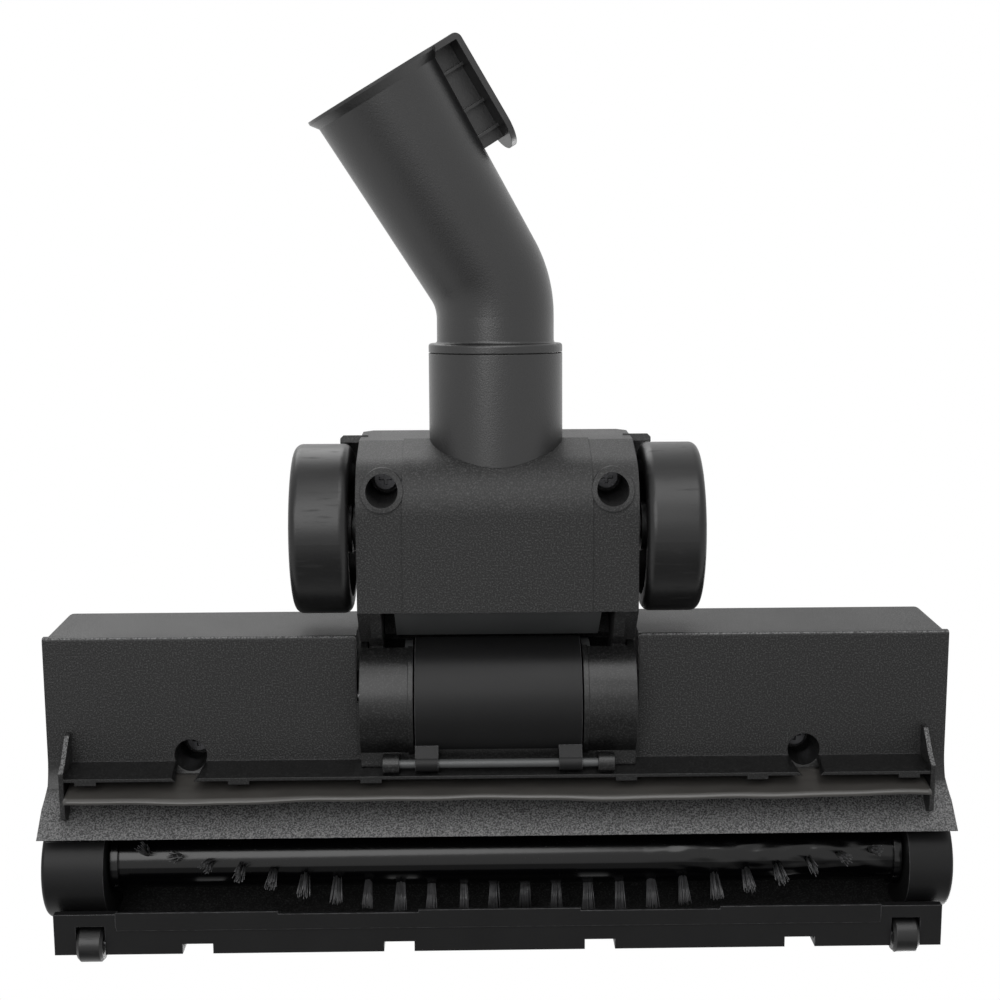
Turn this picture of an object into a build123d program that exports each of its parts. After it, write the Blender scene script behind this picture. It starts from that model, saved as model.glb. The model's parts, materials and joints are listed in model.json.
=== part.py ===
"""Turbine-driven floor brush head, made as separate pieces in one frame.

Lengths are in millimetres. While the pieces are made, X is 0 in the middle, Y is 0 at the edge of the lip and
grows to the rear, and Z is 0 on the floor. At the end all of them are moved so that the origin lies on the
floor under the middle of the whole part.
"""
import math
import os

from build123d import *

# Plays: between parts that move past each other, between fitted parts, and of a shaft in its hole
RUN_GAP = 0.4
SEAT_GAP = 0.1
SHAFT_PLAY = 0.06

# Head housing
LIP_WIDTH = 280.0
SIDE_STEP = 1.1
LIP_STRAIGHT = 7.0
LIP_TAPER_END = 13.0
REAR_Y = 59.3
REAR_TOP_Z = 51.0
SKIN = 2.2
SOLE_THICK = 2.4
PANEL_Z = 16.5
COVE_Y = 21.4
COVE_R = 19.6
RAMP_DEG = 48.0
REAR_ROUND = 2.5

# Roller brush
BRUSH_Y = -13.0
BRUSH_Z = 21.5
CORE_R = 9.4
CORE_FLANGE = 1.4
CORE_FLANGE_WIDE = 2.4
CORE_END_GAP = 0.8
TIP_R = 18.9
STUB_R = 2.0
TUFT_R = 1.6
TUFT_SPREAD_DEG = 3.0
TUFT_PITCH = 9.8
TUFTS_PER_SIDE = 11
TUFT_APEX_X = -8.5
TUFT_APEX_DEG = 87.0
TUFT_TWIST = 1.0

# Brush chamber and front bar
CHAMBER_GAP = 2.1
BAR_TOP_Z = 14.0
BAR_BOTTOM_Z = 3.0
BAR_DEEP = 8.8
BAR_WALL = 1.8
BAR_FACE = 3.0
BAR_STEP = 3.1
GATE_WIDE = 9.3
GATE_DEEP = 3.2
GATE_TALL = 9.0
GATE_STEP = 61.7
SHELF_REACH = 4.8
SHELF_STEP = 0.8
SHELF_THICK = 0.9
BAR_INSET = 2.6
CORNER_REACH = 4.2

# Casters
CASTER_R = 5.6
CASTER_WIDE = 8.0
CASTER_ROUND = 0.9
CASTER_PIN_R = 1.2
CASTER_PIN_REACH = 2.8
CASTER_INSET = 14.8
CASTER_PROUD = 2.9

# End caps and brush bearings
CAP_R = 16.6
CAP_SHIFT = 1.5
BELT_ROOM = 6.0
CAP_WALL = 1.8
CAP_BULGE = 1.2
CAP_RISE = 8.0
BELT_CAP_LONG = 19.1
PLAIN_CAP_LONG = 13.8
BEARING_R = 5.0
BEARING_WIDE = 2.5

# Drive from turbine to brush
SHAFT_R = 1.6
PINION_R = 2.6
PULLEY_R = 6.0
FLANGE_RISE = 1.8
FLANGE_WIDE = 1.0
BELT_WIDE = 3.0
BELT_THICK = 1.1
BELT_PLAY = 0.3
SHAFT_BEARING_R = 4.0

# Turret: the barrel in which the carriage pitches and the turbine turns
TURRET_Y = 38.0
TURRET_Z = 24.0
DISC_R = 17.5
BARREL_WALL = 1.5
BARREL_REAR_DEG = -24.3
BARREL_TOP_DEG = 62.0
END_SHIELD_DEG = 50.0
END_SHIELD_R = 12.0
POCKET_GAP = 1.3
POCKET_EDGE_Y = 39.0
BASE_Z = 10.4
COLLAR_WIDE = 1.6
COLLAR_RISE = 0.5
TURBINE_INSET = 16.2
TURBINE_R = 16.2
TURBINE_HUB_R = 4.5
TURBINE_BLADES = 10
BLADE_THICK = 1.4
END_PLATE = 2.5
INLET_INSET = 5.8
INLET_LOW_Z = 22.0
INLET_HIGH_Z = 34.0
DUCT_WALL = 1.6

# Access flap
FLAP_THICK = 2.0
FLAP_LIFT = 0.4
FLAP_REAR_DEG = -11.4
FLAP_FRONT_DEG = -127.0
HINGE_Y = 21.9
HINGE_Z = 6.0
HINGE_PIN_R = 1.3
HINGE_KNUCKLE_R = 2.4
LUG_WIDE = 7.0
HINGE_BOSS_STEP = 4.4
HINGE_BOSS_WIDE = 4.9
HINGE_PIN_SINK = 3.4

# Strip ledge, brackets and squeegee
LEDGE_Y = 19.6
LEDGE_LEAN = 1.4
LEDGE_TIP_Z = 4.0
LEDGE_THICK = 1.0
BRACKET_INSET = 7.6
BRACKET_THICK = 1.4
STRIP_THICK = 1.5
STRIP_TIP_Y = 12.0
STRIP_TIP_Z = 0.4
STRIP_ROOT_Y = 16.4
STRIP_END_GAP = 0.4
TAB_WIDE = 6.4
TAB_DEEP = 1.6
TAB_SPOTS = (-1.0, -0.63, -0.31, 0.31, 0.63, 1.0)
TAB_INSET = 6.5

# Screws through the panel into the cover
SCREW_X = 94.9
SCREW_Y = 21.9
SCREW_WELL_R = 5.0
SCREW_SEAT_Z = 34.0
SCREW_HEAD_R = 3.4
SCREW_HEAD_TALL = 2.6
SCREW_R = 1.5
SCREW_LONG = 10.0
SLOT_HALF = 2.0
SLOT_WIDE = 1.0

# Carriage
CARRIAGE_HALF = 42.0
CARRIAGE_Z = 5.0
CARRIAGE_FRONT_Y = 69.0
CARRIAGE_KNEE_Y = 110.5
CARRIAGE_REAR_Y = 117.8
SPLIT_Z = 29.0
CARRIAGE_TOP_Z = 56.0
KNEE_ROUND = 16.0
MIDDLE_INSET = 13.7
MIDDLE_PROUD = 0.5
BROW = 3.0
DISC_WIDE = 4.3
ARM_ROOT = 8.0
ARM_DROP = 4.0
HOOD_GAP = 1.1
HOOD_THICK = 1.8
HOOD_LAP_DEG = 6.0
HOOD_REAR_DEG = 50.0
HOOD_FRONT_DEG = 105.0
DUCT_INSET = 11.0
DUCT_FRONT_Y = 58.6
TONGUE_TIP_Z = 20.0
TONGUE_WALL = 2.4
DUCT_TOP_Z = 44.0
ROOF_DROP = 7.0
FIN_INSET = 7.0
FIN_REACH = 9.7
FIN_THICK = 3.4
WELL_INSET = 7.8
WELL_Y = 105.7
WELL_DEEP = 4.0
WELL_R = 4.75
WELL_RING = 1.6
WELL_PROUD = 0.8

# Rear wheels
WHEEL_R = 26.0
WHEEL_WIDE = 17.4
WHEEL_GAP = 2.2
WHEEL_Y = 91.0
WHEEL_ROUND = 2.6
WHEEL_RIM = 5.0
FENDER_GAP = 1.4
FENDER_THICK = 2.4
FENDER_WIDE = 6.5
FENDER_REAR_DEG = 24.0
FENDER_FRONT_DEG = 100.0
FENDER_CORNER = 3.6
AXLE_R = 4.0
AXLE_PEG_R = 2.4
HUB_WALL = 3.5

# Swivel sleeve, neck elbow and tube socket
TUBE_R = 17.5
TUBE_PLAY = 0.05
SLEEVE_R = 20.5
SLEEVE_BORE_R = 18.3
SLEEVE_Y = 113.0
SLEEVE_Z = 31.5
SLEEVE_RISE_DEG = 2.8
SLEEVE_BACK = 13.2
SLEEVE_AHEAD = 31.5
SPIGOT_WALL = 2.0
RING_WIDE = 2.4
COLLAR_LONG = 2.7
COLLAR_ROUND = 0.9
NECK_R = 17.9
NECK_WALL = 2.0
NECK_LONG = 8.0
NECK_ROLL_DEG = 14.3
BEND_R = 28.0
BEND_DEG = 31.8
SOCKET_START_R = 18.2
SOCKET_MOUTH_R = 20.2
SOCKET_LONG = 63.4
SOCKET_BORE_LONG = 40.0
RIM_RISE = 1.7
RIM_LONG = 4.6
RIM_EDGE = 1.0

# Park hook on the socket
HOOK_GAP = 6.5
HOOK_THICK = 1.8
HOOK_LONG = 37.6
HOOK_HALF = 9.0
HOOK_ROUND = 2.2
HOOK_WEB_LONG = 33.6
HOOK_RIB_SPOTS = (8.9, 21.1, 29.6)
HOOK_RIB_HALF = 2.6
HOOK_RIB_THICK = 1.0
HOOK_FLANGE = 2.0
HOOK_ROOT = 0.6

# Values that follow from the sizes above
HALF_LIP = LIP_WIDTH / 2
HALF_BODY = HALF_LIP - SIDE_STEP
HALF_BAR = HALF_BODY - BAR_INSET
CHAMBER_R = TIP_R + CHAMBER_GAP
ROOF_R = CHAMBER_R + SKIN
SOLE_TOP_Z = PANEL_Z + SOLE_THICK
COVE_Z = PANEL_Z - COVE_R
BAR_FRONT_Y = BRUSH_Y - CHAMBER_R - BAR_STEP
CAP_Y = BRUSH_Y - CAP_SHIFT
BARREL_BORE = DISC_R + RUN_GAP
BARREL_R = BARREL_BORE + BARREL_WALL
BARREL_HALF = CARRIAGE_HALF - SKIN
TURBINE_HALF = CARRIAGE_HALF - TURBINE_INSET
INLET_HALF = TURBINE_HALF - INLET_INSET
HINGE_BOSS_X = TURBINE_HALF + HINGE_BOSS_STEP
PIN_END_X = HINGE_BOSS_X + HINGE_PIN_SINK
DUCT_HALF = CARRIAGE_HALF - DUCT_INSET
FIN_X = CARRIAGE_HALF - FIN_INSET
WELL_X = CARRIAGE_HALF - WELL_INSET
WELL_SEAT_Z = SPLIT_Z + WELL_DEEP
MIDDLE_HALF = CARRIAGE_HALF - MIDDLE_INSET
POCKET_HALF = CARRIAGE_HALF + POCKET_GAP
FLAP_IN_R = BARREL_BORE + FLAP_LIFT
FLAP_OUT_R = FLAP_IN_R + FLAP_THICK
FLAP_HALF = TURBINE_HALF - 0.5
HOOD_IN_R = BARREL_R + HOOD_GAP
HOOD_OUT_R = HOOD_IN_R + HOOD_THICK
BELT_CAP_X = HALF_BODY + CAP_BULGE - BELT_CAP_LONG
PLAIN_CAP_X = HALF_BODY + CAP_BULGE - PLAIN_CAP_LONG
DRIVE_X = BELT_CAP_X + CAP_WALL + BEARING_WIDE
DRIVE_WIDE = BELT_WIDE + 2 * FLANGE_WIDE + 2 * BELT_PLAY
SHAFT_END_X = DRIVE_X + DRIVE_WIDE + BEARING_WIDE + 0.8
CASTER_X = HALF_LIP - CASTER_INSET
CASTER_Y = BAR_FRONT_Y + CASTER_R - CASTER_PROUD
BRACKET_X = HALF_BODY - BRACKET_INSET
TAB_REACH = BRACKET_X - TAB_INSET
WHEEL_X = CARRIAGE_HALF + WHEEL_GAP
WHEEL_Z = WHEEL_R
AIR_R = NECK_R - NECK_WALL
SOCKET_R = TUBE_R + TUBE_PLAY
SPIGOT_START = -SLEEVE_BACK - RUN_GAP - RING_WIDE


def block(x0, x1, y0, y1, z0, z1):
    """Return a box between two corners."""
    return Pos((x0 + x1) / 2, (y0 + y1) / 2, (z0 + z1) / 2) * Box(x1 - x0, y1 - y0, z1 - z0)


def bar_x(y, z, radius, x0, x1):
    """Return a round bar along X."""
    return Pos((x0 + x1) / 2, y, z) * Rot(0, 90, 0) * Cylinder(radius, x1 - x0)


def bar_z(x, y, radius, z0, z1):
    """Return a round bar along Z."""
    return Pos(x, y, (z0 + z1) / 2) * Cylinder(radius, z1 - z0)


def slab(points, x0, x1):
    """Return a YZ outline with straight sides, run along X."""
    return run_x(make_face(Polyline(*points, close=True)), x0, x1)


def run_x(face, x0, x1):
    """Return a face drawn in the YZ plane, run along X."""
    return extrude(Plane.YZ.offset(x0) * face, x1 - x0)


def ring_x(y, z, outer_r, inner_r, start, end, x0, x1):
    """Return a part of a ring about an axis along X, between two angles from the rear."""
    outer = CenterArc((y, z), outer_r, start, end - start)
    inner = CenterArc((y, z), inner_r, start, end - start)
    edges = [outer, Line(outer @ 1, inner @ 1), inner, Line(inner @ 0, outer @ 0)]
    return run_x(make_face(edges), x0, x1)


def both_sides(solid):
    """Return a solid together with its mirror image on the other side."""
    return solid + mirror(solid, Plane.YZ)


def polar(y, z, radius, degrees):
    """Return the YZ point at an angle from the rear about a centre."""
    angle = math.radians(degrees)
    return (y + radius * math.cos(angle), z + radius * math.sin(angle))


def under_curve(rise, half):
    """Return everything below the underside curve, raised by a thickness."""
    knee = polar(COVE_Y, COVE_Z, COVE_R + rise, 90 + RAMP_DEG)
    lip_z = knee[1] - knee[0] * math.tan(math.radians(RAMP_DEG))
    cove = CenterArc((COVE_Y, COVE_Z), COVE_R + rise, 90, RAMP_DEG)
    top = PANEL_Z + rise
    rest = Polyline(knee, (0, lip_z), (0, -1), (REAR_Y, -1), (REAR_Y, top), (COVE_Y, top))
    return run_x(make_face([cove, rest]), -half, half)


def sleeve_frame(along):
    """Return the plane across the sleeve axis, a distance behind its middle point."""
    rise = math.radians(SLEEVE_RISE_DEG)
    way = (0, math.cos(rise), math.sin(rise))
    centre = (0, SLEEVE_Y + along * way[1], SLEEVE_Z + along * way[2])
    return Plane(origin=centre, x_dir=(1, 0, 0), z_dir=way)


def sleeve_bar(radius, start, end):
    """Return a round bar along the sleeve axis."""
    return sleeve_frame(start) * Cylinder(radius, end - start, align=(Align.CENTER, Align.CENTER, Align.MIN))


def mouth_frame():
    """Return the plane across the socket mouth, with X toward the hook."""
    bend = math.radians(BEND_DEG)
    side = BEND_R * (1 - math.cos(bend)) + SOCKET_LONG * math.sin(bend)
    along = COLLAR_LONG + NECK_LONG + BEND_R * math.sin(bend) + SOCKET_LONG * math.cos(bend)
    local = Plane(origin=(side, 0, along), x_dir=(-math.cos(bend), 0, math.sin(bend)),
                  z_dir=(math.sin(bend), 0, math.cos(bend)))
    return Plane(neck_base() * local.location)


def neck_base():
    """Return the place of the neck's collar, turned to its rest position."""
    return sleeve_frame(SLEEVE_AHEAD).location * Rot(0, 0, NECK_ROLL_DEG)


def strip_outline():
    """Return the outline of the squeegee strip."""
    side = STRIP_THICK / 2
    root_z = COVE_Z + math.sqrt(COVE_R**2 - (COVE_Y - STRIP_ROOT_Y)**2) - 0.5
    return [(STRIP_ROOT_Y - side, root_z), (STRIP_ROOT_Y + side, root_z),
            (STRIP_TIP_Y + side, STRIP_TIP_Z), (STRIP_TIP_Y - side, STRIP_TIP_Z)]


def side_brackets():
    """Return the two upright plates at the ends of the strip."""
    outline = [(30.0, PANEL_Z + 1), (29.4, 13.6), (26.2, 10.4), (22.6, 7.0), (20.6, 3.6), (6.2, 4.0),
               (4.0, 8.6), (8.0, 12.4), (14.0, 16.2), (21.0, PANEL_Z + 1)]
    plate = slab(outline, BRACKET_X, BRACKET_X + BRACKET_THICK)
    return both_sides(plate)


def strip_ledge():
    """Return the inclined wall behind the strip with its small clip tabs."""
    tip_y = LEDGE_Y - LEDGE_LEAN
    side = LEDGE_THICK / 2
    outline = [(LEDGE_Y - side, PANEL_Z + 0.8), (LEDGE_Y + side, PANEL_Z + 0.8),
               (tip_y + side, LEDGE_TIP_Z), (tip_y - side, LEDGE_TIP_Z)]
    ledge = slab(outline, -BRACKET_X - 1, BRACKET_X + 1)
    for spot in TAB_SPOTS:
        middle = spot * TAB_REACH
        ledge += block(middle - TAB_WIDE / 2, middle + TAB_WIDE / 2, tip_y - TAB_DEEP, tip_y, LEDGE_TIP_Z,
                       LEDGE_TIP_Z + 1.2)
    return ledge


def barrel_base():
    """Return the lower half of the turret barrel with the block in front of it and the hinge bosses."""
    rear = 360 + BARREL_REAR_DEG
    shell = ring_x(TURRET_Y, TURRET_Z, BARREL_R, BARREL_BORE, 180, rear, TURBINE_HALF, BARREL_HALF)
    collar_r = BARREL_R + COLLAR_RISE
    collar_x = TURBINE_HALF + COLLAR_WIDE
    shell += ring_x(TURRET_Y, TURRET_Z, collar_r, BARREL_BORE, 180, rear, TURBINE_HALF, collar_x)
    end = bar_x(TURRET_Y, TURRET_Z, BARREL_R, BARREL_HALF, CARRIAGE_HALF)
    end &= under_curve(SOLE_THICK, HALF_BODY)
    end += ring_x(TURRET_Y, TURRET_Z, BARREL_R, END_SHIELD_R, BARREL_REAR_DEG, END_SHIELD_DEG, BARREL_HALF,
                  CARRIAGE_HALF)
    base = block(-CARRIAGE_HALF, CARRIAGE_HALF, LEDGE_Y, TURRET_Y, BASE_Z, SOLE_TOP_Z - SEAT_GAP)
    base -= bar_x(TURRET_Y, TURRET_Z, BARREL_BORE, -BARREL_HALF, BARREL_HALF)
    boss = bar_x(HINGE_Y, HINGE_Z, HINGE_KNUCKLE_R + 0.4, HINGE_BOSS_X, HINGE_BOSS_X + HINGE_BOSS_WIDE)
    boss += block(HINGE_BOSS_X, HINGE_BOSS_X + HINGE_BOSS_WIDE, LEDGE_Y - 1, HINGE_Y + 2, HINGE_Z, BASE_Z + 1)
    return base + both_sides(shell + end + boss)


def sole_plate():
    """Return the moulded underside with ramp, lip, ledge, brackets and lower barrel."""
    sole = under_curve(SOLE_THICK, HALF_LIP) - under_curve(0, HALF_LIP + 1)
    edge = sole.edges().filter_by(Axis.X).sort_by_distance((0, REAR_Y, PANEL_Z))[0]
    sole = fillet(edge, 1.0)
    beyond = HALF_LIP + 1
    side = Polyline((HALF_LIP, LIP_STRAIGHT), (HALF_BODY, LIP_TAPER_END), (HALF_BODY, REAR_Y + 1),
                    (beyond, REAR_Y + 1), (beyond, LIP_STRAIGHT), close=True)
    sole -= both_sides(Pos(0, 0, -1) * extrude(make_face(side), SOLE_TOP_Z + 2))
    sole -= block(-POCKET_HALF, POCKET_HALF, TURRET_Y, REAR_Y + 1, 0, SOLE_TOP_Z + 1)
    sole -= bar_x(TURRET_Y, TURRET_Z, BARREL_R - 0.3, -BARREL_HALF, BARREL_HALF)
    for side in (-1, 1):
        sole += bar_z(side * SCREW_X, SCREW_Y, SCREW_WELL_R + DUCT_WALL, PANEL_Z + 1, SCREW_SEAT_Z + SKIN)
    sole += strip_ledge() + side_brackets() + barrel_base()
    for side in (-1, 1):
        sole -= bar_z(side * SCREW_X, SCREW_Y, SCREW_WELL_R, 0, SCREW_SEAT_Z)
        sole -= bar_z(side * SCREW_X, SCREW_Y, SCREW_R + SEAT_GAP, 0, SCREW_SEAT_Z + SKIN + 1)
    sole -= bar_x(BRUSH_Y, BRUSH_Z, CHAMBER_R, -HALF_LIP - 1, HALF_LIP + 1)
    sole -= bar_x(HINGE_Y, HINGE_Z, HINGE_PIN_R, -PIN_END_X, PIN_END_X)
    groove = under_curve(SOLE_THICK + 1, HALF_LIP) - under_curve(SOLE_THICK / 2, HALF_LIP + 1)
    groove &= block(DRIVE_X, DRIVE_X + DRIVE_WIDE, 5.5, TURRET_Y + 2, 0, SOLE_TOP_Z + 2)
    return sole - groove


def cover_outline():
    """Return the outer side outline of the cover as a face in the YZ plane."""
    dy = REAR_Y - BRUSH_Y
    dz = REAR_TOP_Z - BRUSH_Z
    reach = math.hypot(dy, dz)
    start = math.degrees(math.atan2(dz, dy) + math.acos(ROOF_R / reach))
    end = 180 + math.degrees(math.asin((BRUSH_Z - BAR_TOP_Z) / ROOF_R))
    nose = CenterArc((BRUSH_Y, BRUSH_Z), ROOF_R, start, end - start)
    rest = Polyline(nose @ 1, (REAR_Y, BAR_TOP_Z), (REAR_Y, REAR_TOP_Z), nose @ 0)
    return make_face([nose, rest])


def cover_hollow(x0, x1):
    """Return the room under the cover between the chamber wall and the rear wall."""
    top = REAR_TOP_Z - SKIN
    front_top = BRUSH_Z + ROOF_R - SKIN - 0.6
    outline = [(BRUSH_Y, 0), (REAR_Y - SKIN, 0), (REAR_Y - SKIN, top - 0.5), (BRUSH_Y, front_top)]
    return slab(outline, x0, x1) - bar_x(BRUSH_Y, BRUSH_Z, ROOF_R, x0 - 1, x1 + 1)


def cap_outline(shrink):
    """Return the U-shaped end outline of an end cap, drawn smaller by a wall."""
    radius = CAP_R - shrink
    bowl = CenterArc((CAP_Y, BRUSH_Z), radius, 180, 180)
    top = BRUSH_Z + CAP_RISE
    return make_face([bowl, Polyline(bowl @ 1, (CAP_Y + radius, top), (CAP_Y - radius, top), bowl @ 0)])


def upper_cover():
    """Return the top housing with the brush chamber roof, the turbine pocket and the screw posts."""
    cover = run_x(cover_outline(), -HALF_BODY, HALF_BODY)
    rear = cover.edges().filter_by(Axis.X).sort_by_distance((0, REAR_Y, REAR_TOP_Z))[0]
    cover = fillet(rear, REAR_ROUND)
    corners = cover.edges().filter_by(Axis.Z).group_by(Axis.Y)[-1]
    cover = fillet(corners, REAR_ROUND)
    inside = HALF_BODY - SKIN
    hollow = both_sides(cover_hollow(POCKET_HALF + SKIN, inside))
    cover -= hollow
    cover -= cover_hollow(-POCKET_HALF, POCKET_HALF)
    cover -= block(-POCKET_HALF, POCKET_HALF, POCKET_EDGE_Y, REAR_Y + 1, 0, REAR_TOP_Z + 1)
    cover -= bar_x(BRUSH_Y, BRUSH_Z, CHAMBER_R, -inside, inside)
    cover -= bar_x(BRUSH_Y, BRUSH_Z, ROOF_R + 0.1, BELT_CAP_X + CAP_WALL, inside) & block(
        0, HALF_LIP, BRUSH_Y + 8, REAR_Y, 0, BRUSH_Z + 12)
    cover -= run_x(cap_outline(-SEAT_GAP), -HALF_LIP, HALF_LIP) - block(
        -inside, inside, BRUSH_Y - 40, REAR_Y, 0, REAR_TOP_Z)
    cover -= block(-INLET_HALF, INLET_HALF, 0, COVE_Y, INLET_LOW_Z, INLET_HIGH_Z)
    cover -= bar_x(TURRET_Y, TURRET_Z, SHAFT_BEARING_R + 1, POCKET_HALF - 1, POCKET_HALF + SKIN + 1)
    for side in (-1, 1):
        post = bar_z(side * SCREW_X, SCREW_Y, SCREW_WELL_R, SCREW_SEAT_Z + SKIN + SEAT_GAP, REAR_TOP_Z - 4)
        cover += post - bar_z(side * SCREW_X, SCREW_Y, SCREW_R, 0, SCREW_SEAT_Z + SCREW_LONG + 0.5)
    seat = bar_x(TURRET_Y, TURRET_Z, SHAFT_BEARING_R + 1.6, SHAFT_END_X - BEARING_WIDE, HALF_BODY - 1)
    cover += seat
    cover -= under_curve(SOLE_THICK, HALF_LIP + 1)
    seat_x = SHAFT_END_X - BEARING_WIDE
    return cover - bar_x(TURRET_Y, TURRET_Z, SHAFT_BEARING_R, seat_x - 1, SHAFT_END_X + RUN_GAP)


def turbine_chamber():
    """Return the upper half of the turret barrel with its end plates and inlet nozzle."""
    inner = TURBINE_HALF + 0.2
    half = BARREL_HALF
    chamber = ring_x(TURRET_Y, TURRET_Z, BARREL_R, BARREL_BORE, BARREL_TOP_DEG, 180, -half, half)
    chamber += ring_x(TURRET_Y, TURRET_Z, BARREL_R, BARREL_BORE, BARREL_TOP_DEG, 194, -TURBINE_HALF + 0.2,
                      TURBINE_HALF - 0.2)
    plate = bar_x(TURRET_Y, TURRET_Z, BARREL_BORE - 0.2, inner, inner + END_PLATE)
    plate += ring_x(TURRET_Y, TURRET_Z, BARREL_R - 0.5, 8, BARREL_TOP_DEG, 179, inner, inner + END_PLATE)
    plate -= bar_x(TURRET_Y, TURRET_Z, SHAFT_BEARING_R, inner - 1, inner + END_PLATE + 1)
    chamber += both_sides(plate)
    half = INLET_HALF + DUCT_WALL
    nozzle = block(-half, half, BRUSH_Y, TURRET_Y, INLET_LOW_Z - DUCT_WALL, INLET_HIGH_Z + DUCT_WALL)
    nozzle -= bar_x(BRUSH_Y, BRUSH_Z, ROOF_R + SEAT_GAP, -half - 1, half + 1)
    nozzle -= bar_x(TURRET_Y, TURRET_Z, BARREL_BORE, -half - 1, half + 1)
    chamber += nozzle
    return chamber - block(-INLET_HALF, INLET_HALF, BRUSH_Y, TURRET_Y - 10, INLET_LOW_Z, INLET_HIGH_Z)


def squeegee_strip():
    """Return the flexible strip in front of the ledge."""
    half = BRACKET_X - STRIP_END_GAP
    return slab(strip_outline(), -half, half)


def front_bar():
    """Return the skid bar in front of the brush with gates, stepped shelf and caster pockets."""
    rear = BAR_FRONT_Y + BAR_DEEP
    bar = block(-HALF_BAR, HALF_BAR, BAR_FRONT_Y, rear, BAR_BOTTOM_Z, BAR_BOTTOM_Z + BAR_WALL)
    bar += block(-HALF_BAR, HALF_BAR, BAR_FRONT_Y, BAR_FRONT_Y + BAR_FACE, BAR_BOTTOM_Z, BAR_TOP_Z)
    shelf_half = CASTER_X - CASTER_WIDE
    shelf_low = BAR_BOTTOM_Z - SHELF_THICK / 2
    shelf_end = rear + SHELF_REACH - SHELF_STEP
    bar += block(-shelf_half, shelf_half, rear - 1, shelf_end, shelf_low, shelf_low + SHELF_THICK)
    for middle in (-1, 0, 1):
        x = middle * GATE_STEP * 1.5
        bar += block(x - GATE_STEP / 2 + 6, x + GATE_STEP / 2 - 6, rear, rear + SHELF_REACH, shelf_low,
                     shelf_low + SHELF_THICK)
    corner = block(shelf_half, HALF_BAR, BAR_FRONT_Y, rear + CORNER_REACH, BAR_BOTTOM_Z, BAR_TOP_Z)
    room = CASTER_WIDE / 2 + RUN_GAP
    corner -= block(CASTER_X - room, CASTER_X + room, BAR_FRONT_Y - 9, CASTER_Y + CASTER_R + 0.8, 0,
                    CASTER_R * 2 + 0.8)
    bar -= block(CASTER_X - room, CASTER_X + room, -99, 0, 0, BAR_TOP_Z + 1)
    bar -= block(-CASTER_X - room, -CASTER_X + room, -99, 0, 0, BAR_TOP_Z + 1)
    bar += both_sides(corner)
    for place in (-1.5, -0.5, 0.5, 1.5):
        x = place * GATE_STEP
        bar -= block(x - GATE_WIDE / 2, x + GATE_WIDE / 2, BAR_FRONT_Y - 1, BAR_FRONT_Y + GATE_DEEP, 0,
                     BAR_BOTTOM_Z + GATE_TALL)
    pin_half = CASTER_X + CASTER_WIDE / 2 + CASTER_PIN_REACH
    bar -= bar_x(BRUSH_Y, BRUSH_Z, TIP_R + RUN_GAP, -HALF_BAR, HALF_BAR)
    return bar - bar_x(CASTER_Y, CASTER_R, CASTER_PIN_R, -pin_half, pin_half)


def end_cap(inner_x, belt_side):
    """Return the bowl at one end of the brush, made on the +X side."""
    outer_x = HALF_BODY + CAP_BULGE
    cap = run_x(cap_outline(0), inner_x, outer_x)
    rim = cap.faces().sort_by(Axis.X)[-1].edges()
    cap = fillet(rim, CAP_BULGE)
    cap -= run_x(cap_outline(CAP_WALL), inner_x + CAP_WALL, outer_x - CAP_BULGE)
    cap -= block(inner_x + CAP_WALL, outer_x - CAP_BULGE, CAP_Y - CAP_R + CAP_WALL, CAP_Y + CAP_R - CAP_WALL,
                 BRUSH_Z, BRUSH_Z + CAP_RISE + 1)
    cap += bar_x(BRUSH_Y, BRUSH_Z, BEARING_R + 1.6, inner_x, inner_x + BEARING_WIDE)
    cap -= bar_x(BRUSH_Y, BRUSH_Z, BEARING_R, inner_x - 1, inner_x + BEARING_WIDE + 1)
    if belt_side:
        low = BRUSH_Z - PULLEY_R - BELT_ROOM
        cap -= block(inner_x + CAP_WALL, outer_x - CAP_BULGE, BRUSH_Y + PULLEY_R, CAP_Y + CAP_R + 1, low,
                     BRUSH_Z + CAP_RISE + 1)
    return cap


def bearing_x(y, z, outer_r, shaft_r, x0, x1):
    """Return a plain ring bearing for a shaft along X."""
    return bar_x(y, z, outer_r, x0, x1) - bar_x(y, z, shaft_r + SHAFT_PLAY, x0 - 1, x1 + 1)


def brush_bearing(x):
    """Return the plain bearing of a roller stub that starts at an X."""
    return bearing_x(BRUSH_Y, BRUSH_Z, BEARING_R, STUB_R, x, x + BEARING_WIDE)


def shaft_bearing(x, wide):
    """Return a plain bearing of the turbine shaft that starts at an X."""
    return bearing_x(TURRET_Y, TURRET_Z, SHAFT_BEARING_R, SHAFT_R, x, x + wide)


def brush_core():
    """Return the glossy roller with its end flanges and stub shafts."""
    left = BELT_CAP_X - CORE_END_GAP
    right = -PLAIN_CAP_X + CORE_END_GAP
    core = bar_x(BRUSH_Y, BRUSH_Z, CORE_R, right, left)
    flange_r = CORE_R + CORE_FLANGE
    core += bar_x(BRUSH_Y, BRUSH_Z, flange_r, left - CORE_FLANGE_WIDE, left)
    core += bar_x(BRUSH_Y, BRUSH_Z, flange_r, right, right + CORE_FLANGE_WIDE)
    return core + bar_x(BRUSH_Y, BRUSH_Z, STUB_R, right - BEARING_WIDE - CORE_END_GAP, DRIVE_X + DRIVE_WIDE)


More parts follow.
